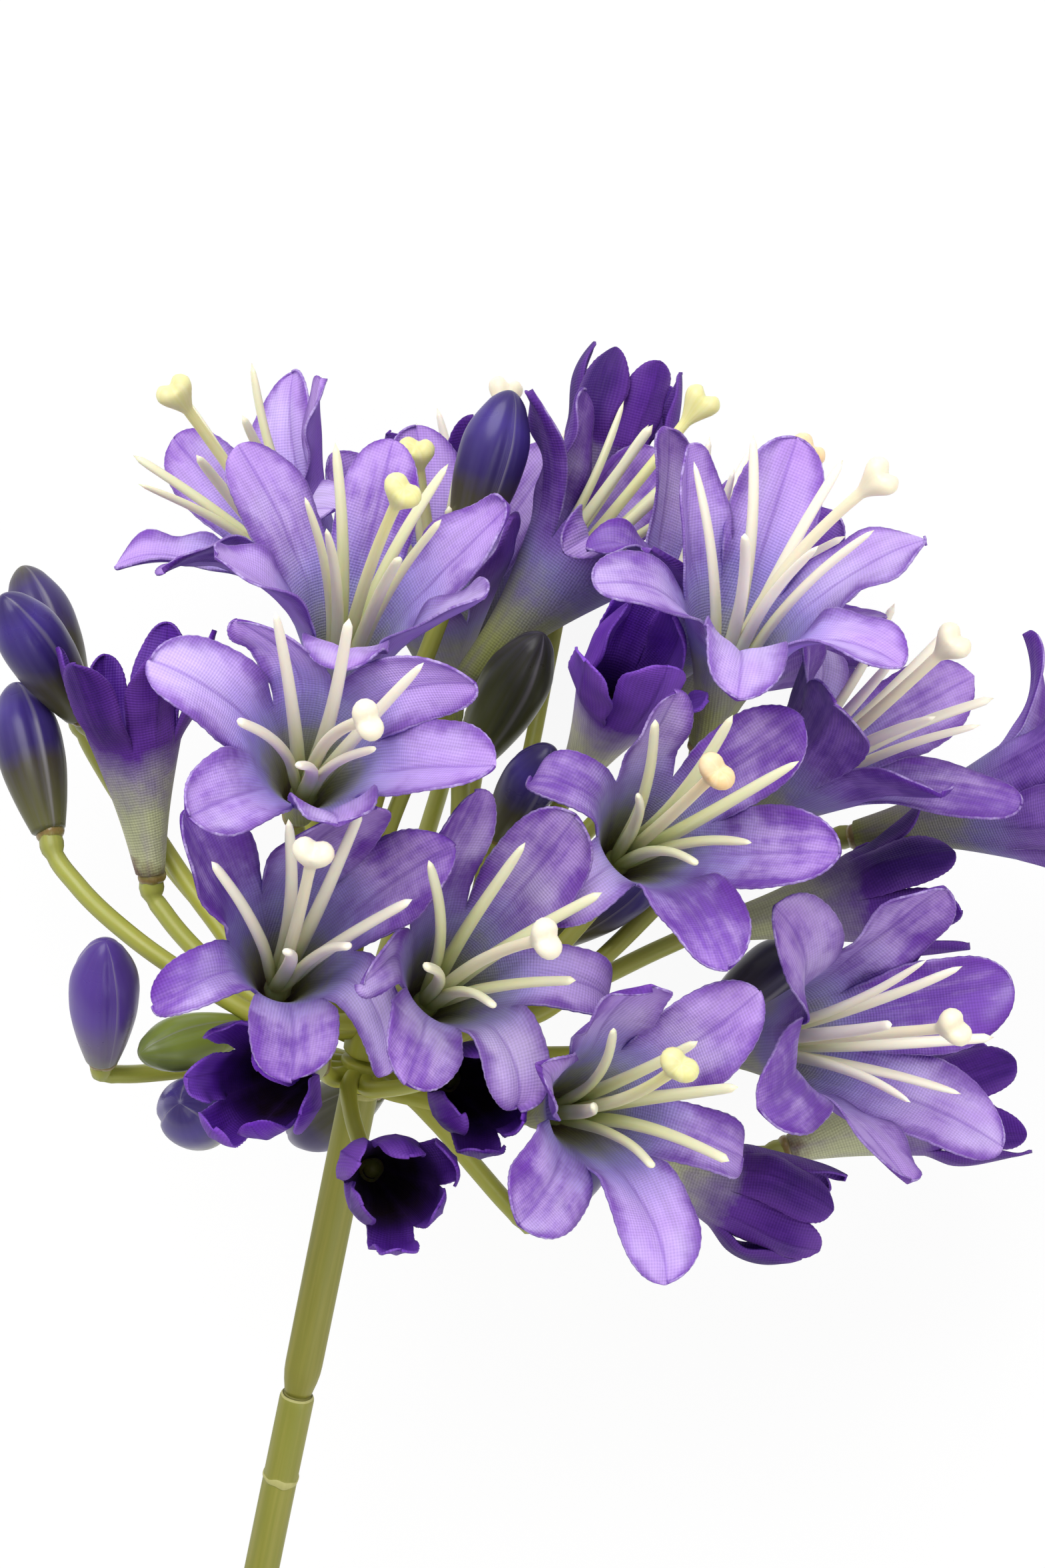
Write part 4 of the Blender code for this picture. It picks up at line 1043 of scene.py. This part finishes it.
@dataclass
class Stamens(Part):
    """A moulded cluster: six curved filaments round a style with a two-lobed knob."""

    foot_radii: Pairs = (  # share of the foot and the stub on it, and radius in mm
        (0, 0.0), (0.15, 1.1), (1, 1.5), (1.6, 1.25), (2, 0.9),
    )
    filament_foot: float = 0.95 * MM  # radii
    filament_tip: float = 0.60 * MM
    filament_sunk: float = 0.8 * MM  # how deep it starts inside the foot
    filament_bow: float = 1.2 * MM
    filament_flat: float = 0.16  # how much wider than thick it is
    filament_point: Pair = (0.04, 0.22)  # the share of it that its pointed end takes
    style_radius: float = 0.85 * MM
    knob_radius: float = 2.35 * MM
    knob_length: float = 8.5 * MM
    knob_outline: Pairs = (  # distance from the tip and radius, as shares
        (0, 1), (0.26, 1), (0.36, 0.92), (0.5, 0.68), (0.65, 0.44), (0.8, 0.26), (1.0, 0.0),
    )
    knob_flat: float = 0.24  # how much wider than thick the knob is
    crown: float = 0.24  # the knob's rounded end, as a share of its length
    notch: float = 1.3 * MM  # depth of the dip between the knob's two lobes
    notch_width: float = 0.42
    waist: float = 0.16  # how much the knob is drawn in beside the notch
    waist_width: float = 0.35
    root_rows: int = 14
    rows: int = 26
    sides: int = 12

    def fill_skin(self) -> None:
        """Adds the foot, the filaments and the style."""
        solid = self.solid
        caps = [i for i, _ in solid.caps(THIN_SIDES)]
        foot = min(caps, key=lambda i: len(solid.levels([i])[2]) + np.linalg.norm(
            solid.points[i] - solid.middle(solid.joins[i])) / MM)
        tip = max(caps, key=lambda i: np.linalg.norm(solid.points[i] - solid.points[foot]))
        plug, style = solid.levels([foot])[:3], solid.levels([tip])[:5]
        bottom, splay, top = solid.points[foot], solid.middle(plug[2]), solid.middle(style[4])
        axis = unit(splay - bottom)

        at = np.linspace(0, 2, self.root_rows)
        spine = flow([0, 1, 2], np.array([bottom, splay, top]), at)
        shares, sizes = np.array(self.foot_radii).T
        radii = flow(shares, sizes * MM, at)
        start = unit(solid.points[plug[1][0]] - solid.middle(plug[1]))
        self.skin.tube(spine, radii, self.sides, at / 20, start)
        for group in solid.groups(set().union(*plug, *style)):
            self.add_filament(group, axis)
        line = [top, *(solid.middle(ring) for ring in reversed(style[1:4])), solid.points[style[0][0]]]
        self.add_style(np.array(line))

    def add_filament(self, group: set[int], axis: Array) -> None:
        """Adds one filament: thick at its root, curved, and pointed.

        Args:
            group: The solid's corners on the filament.
            axis: The cluster's axis.
        """
        solid, rng = self.solid, self.rng
        outside = {i for corner in group for i in solid.joins[corner]} - group
        rows = solid.levels({i for i in group if solid.joins[i] & outside}, group)
        line = np.array([solid.middle(row) for row in (outside, *rows)])
        line = np.vstack([line[0] - unit(line[1] - line[0]) * self.filament_sunk, line])
        knots = distances(line)
        share = np.linspace(0, 1, self.rows) ** 0.9
        aside = unit(np.cross(axis, line[-1] - line[0]))
        bow = rng.uniform(-1, 1) * self.filament_bow * np.sin(share * math.pi)
        spine = flow(knots, line, share * knots[-1]) + aside * bow[:, None]
        radii = self.filament_tip + (self.filament_foot - self.filament_tip) * (1 - share**1.6)
        radii *= (1 - rise(share, 1 - rng.uniform(*self.filament_point), 1) ** 2.4) ** 0.5
        flat = 1 + self.filament_flat * np.cos(2 * turns(self.sides))
        self.skin.tube(spine, radii, self.sides, share, aside, flat)

    def add_style(self, line: Array) -> None:
        """Adds the style, with the knob at its end.

        Args:
            line: The style's middle line, from its root to its tip.
        """
        knots, turn = distances(line), turns(2 * self.sides)
        along = 1 - (1 - np.linspace(0, 1, 2 * self.rows)) ** 1.7
        back = (1 - along) * knots[-1] / self.knob_length
        end = 1 - rise(back, 0, self.crown)
        crown = np.sqrt(np.clip(1 - end**2, 0, 1))
        neck = np.interp(back, *zip(*self.knob_outline))
        radii = crown * np.maximum(self.style_radius * (1.15 - 0.3 * along), neck * self.knob_radius)
        back = back[:, None]
        shape = 1 + self.knob_flat * np.clip(1.2 - back, 0, 1) * np.cos(2 * turn)
        shape -= self.waist * np.clip(1 - 1.4 * back, 0, 1) * hump(np.cos(turn), self.waist_width)
        aside = radii[:, None] * shape * np.cos(turn) / self.knob_radius
        dip = -self.notch * hump(aside, self.notch_width) * end[:, None]
        ahead = unit(line[-1] - line[-2])
        level = unit(np.cross(ahead, [0.0, 0.0, 1.0]))
        start = unit(level + self.rng.uniform(-0.5, 0.5) * np.cross(ahead, level))
        spine = flow(knots, line, along * knots[-1])
        self.skin.tube(spine, radii, len(turn), along, start, shape, slot=1, shift=dip)


# ---- Buds ----


@dataclass
class Bud(Part):
    """A closed bud of moulded plastic, with three folded outer leaves."""

    rows: int = 44
    sides: int = 48
    groove: float = 0.10  # depth of the grooves between its leaves, as a share of the radius
    groove_width: float = 0.26
    seam: float = 0.03  # height of the seams beside them
    seam_width: float = 0.13

    def fill_skin(self) -> None:
        """Adds the bud."""
        solid = self.solid
        ends = [i for i, ring in enumerate(solid.joins) if len(ring) == BUD_SIDES]
        ends = [i for i, _ in solid.caps(BUD_SIDES)] or ends
        foot = min(ends, key=lambda i: np.linalg.norm(solid.points[i] - solid.middle(solid.joins[i])))
        rings = [solid.points[ring] for ring in solid.levels([foot])]
        centres = np.array([ring.mean(axis=0) for ring in rings])
        radii = [np.linalg.norm(ring - centre, axis=1).max() for ring, centre in zip(rings, centres)]
        knots = distances(centres)
        share = (1 - np.cos(np.linspace(0, math.pi, self.rows))) / 2
        at = knots[-1] * share
        spine = centres[0] + unit(centres[-1] - centres[0]) * at[:, None]
        smooth = flow(knots[1:-1], radii[1:-1], np.clip(at, knots[1], knots[-2]))
        foot_round = np.sqrt(np.clip(1 - (1 - rise(at, 0, knots[1])) ** 2, 0, 1)) * radii[1]
        tip_round = radii[-2] * (1 - rise(at, knots[-2], knots[-1])) ** 0.55
        radius = np.select([at < knots[1], at > knots[-2]], [foot_round, tip_round], smooth)
        widest = rings[3] - centres[3]
        valley = widest[np.argmin(np.linalg.norm(widest, axis=1))]
        turn, along = turns(self.sides), share[:, None]
        grown = rise(along, 0, 0.15) * (1 - 0.4 * rise(along, 0.85, 1))
        grooves = self.groove * hump(np.sin((3 * turn + 0.4) / 2), self.groove_width)
        shape = 1 - grown * (grooves - self.seam * hump(np.sin(3 * turn / 2), self.seam_width))
        self.skin.tube(spine, radius, self.sides, share, unit(valley), shape)


# ---- Stem and stalks ----


@dataclass
class StemLine:
    """The straight middle line of the stem, from its cut end to its top."""

    start: Array
    axis: Array

    @classmethod
    def read(cls, wire: Solid) -> StemLine:
        """Reads the line.

        Args:
            wire: The wire's solid.

        Returns:
            The line.
        """
        at = wire.points[:, 1]
        ends = (at < at.min() + 3 * MM, at > at.max() - 3 * MM)
        low, high = (wire.points[end].mean(axis=0) for end in ends)
        return cls(low, unit(high - low))

    def measure(self, points: Array) -> tuple[Array, Array]:
        """Measures places against the line.

        Args:
            points: The places.

        Returns:
            How far each is along the line, and how far out from it.
        """
        offset = points - self.start
        along = offset @ self.axis
        return along, np.linalg.norm(offset - along[..., None] * self.axis, axis=-1)


@dataclass
class Whorl(Part):
    """A collar on the stem with the stalks that grow from it, moulded in one piece."""

    stem: StemLine
    sides: int = 16
    step: float = 0.9 * MM
    thickest: float = 2.2 * MM  # no stalk has a greater radius
    least_rows: int = 12  # along a stalk
    ridge: float = 0.14  # the parting line down both sides of a stalk, as a share of the radius
    ridge_width: float = 0.22
    root_radius: float = 1.5 * MM
    root_length: float = 9 * MM
    swell: Pair = (1.4 * MM, 1.7 * MM)  # under the head: distance from it, and width
    nick: Pair = (3.6 * MM, 0.4 * MM)
    nick_depth: float = 0.3 * MM
    end_round: float = 0.8 * MM
    into_collar: float = 1.2 * MM
    into_head: float = 2.2 * MM  # a stalk's end is glued into the foot of its head
    glue: float = 0.5  # how far the glue stands out, as a share of the stalk's radius
    glue_place: Pair = (0.9, 2.5)  # its start behind the stalk's end, and its length, in mm
    glue_lumps: float = 0.14
    glue_rows: int = 9
    glue_sides: int = 20
    collar_reach: float = 4.2 * MM  # what lies nearer to the stem is the collar
    collar_outline: Pairs = (  # distance along it and radius, as shares
        (0.0, 0.55), (0.02, 0.90), (0.10, 1.0), (0.5, 1.03), (0.90, 1.0), (0.98, 0.90), (1.0, 0.55),
    )
    collar_ribs: float = 0.02
    collar_rows: int = 18
    collar_sides: int = 48

    def fill_skin(self) -> None:
        """Adds the stalks and the collar."""
        for end, reach in self.solid.caps(THIN_SIDES):
            if reach <= self.thickest:
                self.add_stalk(end)
        self.add_collar()

    def add_stalk(self, end: int) -> None:
        """Adds one stalk, from inside the collar to its end under a head.

        Args:
            end: The solid's point at the stalk's end.
        """
        solid = self.solid
        outward = unit(solid.points[end] - solid.middle(solid.joins[end]))
        line, wide = [solid.points[end] + outward * self.into_head], [0.0]
        for ring in solid.levels([end])[1:]:
            middle = solid.middle(ring)
            radii = np.linalg.norm(solid.points[ring] - middle, axis=1)
            if len(ring) != THIN_SIDES or np.ptp(radii) > 0.35 * MM or radii.mean() > self.thickest:
                break
            line.append(middle)
            wide.append(radii.mean())
        if len(line) < 4:
            return
        along, gap = self.stem.measure(line[-1])
        inward = unit(self.stem.start + self.stem.axis * along - line[-1])
        line.append(line[-1] + inward * max(gap - self.into_collar, 0.5 * MM))
        line = np.array(line[::-1])
        knots = distances(line)
        rows = max(int(knots[-1] / self.step), self.least_rows)
        share = np.linspace(0, 1, rows)
        left = (1 - share) * knots[-1]
        main = wide[3]
        radius = self.root_radius + (main - self.root_radius) * rise(share * knots[-1], 0, self.root_length)
        for (place, width), height in ((self.swell, wide[1] - main), (self.nick, -self.nick_depth)):
            radius += height * hump(left - self.into_head - place, width)
        radius *= np.sqrt(rise(left, 0, self.end_round))
        parting = 1 + self.ridge * hump(np.sin(turns(self.sides)), self.ridge_width)
        spine = flow(knots, line, share * knots[-1])
        start = unit(np.cross(line[1] - line[0], [0.2, 0.1, 1.0]))
        self.skin.tube(spine, radius, self.sides, share, start, parting)
        self.add_glue(spine[-1], unit(spine[-1] - spine[-4]), wide[1])

    def add_glue(self, end: Array, axis: Array, radius: float) -> None:
        """Adds the bead of glue that holds a head on its stalk.

        Args:
            end: The stalk's end, inside the head.
            axis: Direction of the stalk at its end.
            radius: The stalk's radius there.
        """
        rng = np.random.default_rng(int(abs(end[0] * 1e6)))
        share = np.linspace(0, 1, self.glue_rows)
        back = (self.glue_place[0] + self.glue_place[1] * share - rng.uniform(0, 0.5)) * MM
        wide = radius * (0.75 + self.glue * np.sin(share * math.pi) ** 0.7)
        turn = turns(self.glue_sides)
        waves = sum(np.sin(k * turn + rng.uniform(0, math.tau)) / k for k in (1, 2, 3, 5))
        start = unit(np.cross(axis, [0.3, 0.2, 1.0]))
        self.skin.tube(end - axis * back[:, None], wide, self.glue_sides, share, start,
                       1 + self.glue_lumps * waves, slot=1)

    def add_collar(self) -> None:
        """Adds the collar round the stem."""
        along, out = self.stem.measure(self.solid.points)
        near = out < self.collar_reach
        share = np.linspace(0, 1, self.collar_rows)
        at = along[near].min() + np.ptp(along[near]) * share
        radii = np.interp(share, *zip(*self.collar_outline)) * np.percentile(out[near], 80)
        radii[[0, -1]] = 0.0
        ribs = 1 + self.collar_ribs * np.cos(6 * turns(self.collar_sides))
        spine = self.stem.start + self.stem.axis * at[:, None]
        self.skin.tube(spine, radii, self.collar_sides, 0.2, SIDEWAYS, ribs)


@dataclass
class StemCover(Part):
    """One length of plastic over the stem's wire, slightly out of round."""

    suffix = "cover"
    stem: StemLine
    outline: Pairs  # distance from the lower end in mm, and share of the radius
    rim: float  # width of the pale lip at the upper end, in mm
    scar: float | None = None  # where a cut mark runs round it, in mm from its upper end
    chip: float = -1.4  # on which side the cut mark is chipped, in radians
    chip_depth: float = 0.9 * MM
    scar_height: float = 0.06  # how far it stands out, as a share of the radius
    scar_width: float = 0.3 * MM
    scar_reach: float = 0.9 * MM  # how far to each side the cut drags the plastic
    scar_rows: int = 15
    pale_width: float = 0.25 * MM  # how far to each side it is pale
    ragged: tuple[tuple[float, int, float], ...] = ((0.25 * MM, 3, 0.0), (0.12 * MM, 7, 1.0))
    end_round: float = 0.8 * MM
    end_narrowing: float = 0.12
    bore: float = 1.2 * MM
    rows: int = 60
    end_rows: tuple[float, ...] = (0.0, 0.15, 0.4, 0.8, 1.5)  # extra ones, in mm from the upper end
    sides: int = 40
    wobble: float = 0.02  # how far it is out of round, which turns once in wobble_length
    wobble_length: float = 30 * MM
    ripple: float = 0.012  # and five-sided on top of that
    ripple_length: float = 11 * MM

    def fill_skin(self) -> None:
        """Adds the outside, run by run of one finish, and the two cut ends."""
        along, out = self.stem.measure(self.solid.points)
        length = np.ptp(along)
        outline = np.array(self.outline)
        places = np.unique(np.concatenate([
            np.linspace(0, length, self.rows),
            outline[:, 0] * MM,
            length - np.array([*self.end_rows, self.rim]) * MM,
            [] if self.scar is None else length - self.scar * MM + np.linspace(-1, 1, self.scar_rows) * MM,
        ]).clip(0, length))
        radii = np.interp(places, outline[:, 0] * MM, outline[:, 1])
        radii *= 1 - self.end_narrowing * rise(places, length - self.end_round, length) ** 2
        radii *= out.max() / (1 + self.wobble)
        turn, at = turns(self.sides), places[:, None]
        shape = 1 + self.wobble * np.sin(2 * turn + at / self.wobble_length)
        shape += self.ripple * np.sin(5 * turn + at / self.ripple_length)
        slots, shift = (places >= length - self.rim * MM).astype(int), np.zeros(shape.shape)
        if self.scar is not None:
            mark = length - self.scar * MM
            shape += self.scar_height * hump(at - mark, self.scar_width)
            slots[np.abs(places - mark) < self.pale_width] = 1
            ragged = sum(height * np.sin(count * turn + phase) for height, count, phase in self.ragged)
            chipped = self.chip_depth * np.clip(np.cos(turn - self.chip), 0, 1) ** 4
            shift = np.where(at < mark, ragged - chipped, ragged) * hump(at - mark, self.scar_reach)

        spine = self.stem.start + self.stem.axis * (along.min() + places)[:, None]
        share = distances(spine) / distances(spine)[-1]
        cuts = [0, *(np.flatnonzero(np.diff(slots)) + 1), len(slots) - 1]
        for a, b in zip(cuts[:-1], cuts[1:]):
            part = slice(a, b + 1)
            self.skin.tube(spine[part], radii[part], self.sides, share[part], SIDEWAYS, shape[part],
                           int(slots[a]), shift[part])
        for end, order in ((0, 1), (-1, -1)):  # the cut ends, from the bore to the outside
            flat = spine[end] + self.stem.axis * 1e-6 * np.arange(4)[:, None]
            reach = np.linspace(radii[end], self.bore, 4)[::order]
            self.skin.tube(flat, reach, self.sides, 0.5, SIDEWAYS, shape[end], slot=1)


# ---- Studio ----


@dataclass
class Studio:
    """A pale floor, soft lamps and a camera that looks straight down on the flower."""

    floor_size: float = 24.0
    camera_place: Place = (-8.3 * MM, 84.1 * MM, 664.6 * MM)
    camera_turn: float = 12.0
    camera_near: float = 0.02
    sensor: float = 36.0  # its height
    lens: float = 91.84
    lamps: tuple[tuple[str, Place, float], ...] = (  # place, and power in watts
        ("key", (-0.45, 0.75, 1.05), 17.0), ("fill", (0.75, -0.25, 0.9), 7.0),
    )
    lamp_size: float = 1.0
    aim: Place = (0.0, 0.06, 0.05)  # where the lamps point
    world_colour: str = "#FBFAF8"
    world_strength: float = 0.55

    def build(self) -> None:
        """Makes the floor, the lamps, the world and the camera."""
        self.add_floor()
        for lamp in self.lamps:
            self.add_lamp(*lamp)
        scene = bpy.context.scene
        scene.world = bpy.data.worlds.new("studio")
        scene.world.use_nodes = True
        sky = scene.world.node_tree.nodes["Background"].inputs
        sky["Color"].default_value = linear(self.world_colour)
        sky["Strength"].default_value = self.world_strength
        camera = self.place("camera", bpy.data.cameras.new("camera"), self.camera_place)
        camera.data.sensor_fit, camera.data.sensor_height = "VERTICAL", self.sensor
        camera.data.lens, camera.data.clip_start = self.lens, self.camera_near
        camera.rotation_euler = (0.0, 0.0, math.radians(self.camera_turn))
        scene.camera = camera
        scene.view_settings.view_transform = "Standard"

    @staticmethod
    def place(name: str, data: bpy.types.ID, where: Sequence[float]) -> bpy.types.Object:
        """Puts a new object in the scene.

        Args:
            name: Name of the object.
            data: What it shows.
            where: Its place.

        Returns:
            The object.
        """
        thing = bpy.data.objects.new(name, data)
        thing.location = where
        bpy.context.scene.collection.objects.link(thing)
        return thing

    def add_floor(self) -> None:
        """Adds the floor."""
        half = self.floor_size / 2
        mesh = bpy.data.meshes.new("floor")
        corners = [(-half, -half, 0), (half, -half, 0), (half, half, 0), (-half, half, 0)]
        mesh.from_pydata(corners, [], [(0, 1, 2, 3)])
        mesh.materials.append(StudioPaper().material())
        floor = self.place("floor", mesh, (0, 0, 0))
        floor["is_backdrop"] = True

    def add_lamp(self, name: str, where: Place, power: float) -> None:
        """Adds a square soft lamp that faces the flower.

        Args:
            name: Name of the lamp.
            where: Where it stands, in metres.
            power: Its power in watts.
        """
        lamp = bpy.data.lights.new(name, "AREA")
        lamp.size, lamp.energy = self.lamp_size, power
        x, y, z = np.array(self.aim) - np.array(where)
        turn = (math.atan2(math.hypot(x, y), -z), 0.0, math.atan2(y, x) - math.pi / 2)
        self.place(name, lamp, where).rotation_euler = turn


# ---- The flower ----


@dataclass
class Flower:
    """The whole flower, made from the frame."""

    nodes: Mapping[str, bpy.types.Object]
    open_dyes: Pairs = (  # depth of colour and lightness, one for each floret
        (0.20, 1.10), (0.30, 1.07), (0.30, 1.07), (0.70, 1.00), (0.50, 1.02), (0.25, 1.08), (0.60, 1.00),
        (0.75, 1.00), (0.20, 1.08), (0.50, 1.03), (0.45, 1.02), (0.50, 1.02), (0.30, 1.06), (0.65, 0.98),
        (0.80, 0.94), (0.80, 0.94),
    )
    # A lightness well above 1 is partly the paler backs of the lobes that show, and partly painted light that
    # lifts a floret lying in shade.
    half_open_dyes: Pairs = (
        (0.4, 1.15), (0.0, 1.75), (0.2, 1.65), (0.5, 1.2), (0.4, 1.25), (0.7, 1.0), (0.7, 1.0), (0.6, 1.05),
        (0.7, 1.0),
    )
    sleeve_outline: Pairs = (
        (0.0, 0.63), (12.0, 0.63), (12.02, 0.76), (12.6, 0.79), (14.0, 0.90), (15.6, 0.98), (17.0, 1.0),
        (80.0, 1.0),
    )
    tube_outline: Pairs = ((0.0, 1.10), (200.0, 1.10))
    knob_tints: tuple[KnobTint, ...] = (
        *[KnobTint.YELLOW] * 4, KnobTint.AMBER, *[KnobTint.CREAM] * 6, KnobTint.AMBER, KnobTint.YELLOW,
        *[KnobTint.CREAM] * 3,
    )
    green_clusters: tuple[int, ...] = (1, 2, 3, 4, 11, 12, 13)
    bud_tints: tuple[BudTint, ...] = (
        BudTint.SLATE, BudTint.INDIGO, BudTint.INDIGO, BudTint.VIOLET, BudTint.GREEN, BudTint.INDIGO,
        BudTint.SLATE, BudTint.INDIGO, BudTint.OLIVE, BudTint.INDIGO, BudTint.INDIGO, BudTint.DARK,
        BudTint.SLATE,
    )

    def parts(self) -> Iterable[Part]:
        """Lists the parts that are made again from their solids.

        Yields:
            Each part, in the order in which they are made.
        """
        for i, (dye, light) in enumerate(self.open_dyes, 1):
            yield Floret(f"open_floret_{i:02d}", "open_floret_fabric", (OPEN_FACE, OPEN_BACK), 1100 + i,
                         dye, light)
        for i, (dye, light) in enumerate(self.half_open_dyes, 1):
            yield Floret(f"half_open_floret_{i:02d}", "half_open_floret_fabric", (HALF_FACE, HALF_BACK),
                         1600 + i, dye, light, fold_depth=0.3 * MM, gutter=(-4.0, 6.0), ruffle=0.4 * MM,
                         belly=0.12, rolled_edge=0.6 * MM, nod=1.0 * MM, widest=0.52, funnel_share=0.44)
        for i, knob in enumerate(self.knob_tints, 1):
            filament = GREEN_FILAMENT_PLASTIC if i in self.green_clusters else FILAMENT_PLASTIC
            yield Stamens(f"stamens_{i:02d}", "stamen_plastic", (filament, knob.plastic), 700 + i)
        for i, tint in enumerate(self.bud_tints, 1):
            slot = "green_bud_plastic" if tint is BudTint.GREEN else "bud_plastic"
            yield Bud(f"bud_{i:02d}", slot, (tint.plastic,), i)
        stem = StemLine.read(Solid(self.nodes["stem_wire"]))
        for name in ("lower", "middle", "upper"):
            yield Whorl(f"stalk_whorl_{name}", "stalk_plastic", (STALK_PLASTIC, HOT_GLUE), 0, stem)
        plastics = (STEM_PLASTIC, CUT_PLASTIC)
        yield StemCover("stem_sleeve", "sleeve_plastic", plastics, 0, stem, self.sleeve_outline, rim=0.8)
        yield StemCover("stem_tube", "tube_plastic", plastics, 0, stem, self.tube_outline, rim=0.35,
                        scar=14.4)

    def build(self) -> None:
        """Builds and dresses every piece. The wire's solid stays, and gets its steel."""
        for part in self.parts():
            part.dress(part.build(self.nodes))
        wire = self.nodes["stem_wire"].data.materials
        wire.clear()
        wire.append(DrawnSteel().material())


def clear_start() -> None:
    """Removes what a new scene starts with."""
    for thing in list(bpy.data.objects):
        bpy.data.objects.remove(thing)


def main() -> None:
    """Loads the frame, builds the flower and its studio, and notes the sizes."""
    logging.basicConfig(level=logging.INFO, format="%(message)s")
    clear_start()
    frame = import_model()
    solid_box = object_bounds()
    Flower(frame["nodes"]).build()
    Studio().build()
    bpy.context.view_layer.update()
    boxes = {
        "cad": [list(corner) for corner in solid_box],
        "visual": [list(corner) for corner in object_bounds()],
    }
    for name, box in boxes.items():
        LOG.info("%s box in mm: %s", name, (np.array(box) / MM).round(1).tolist())


if __name__ == "__main__":
    main()
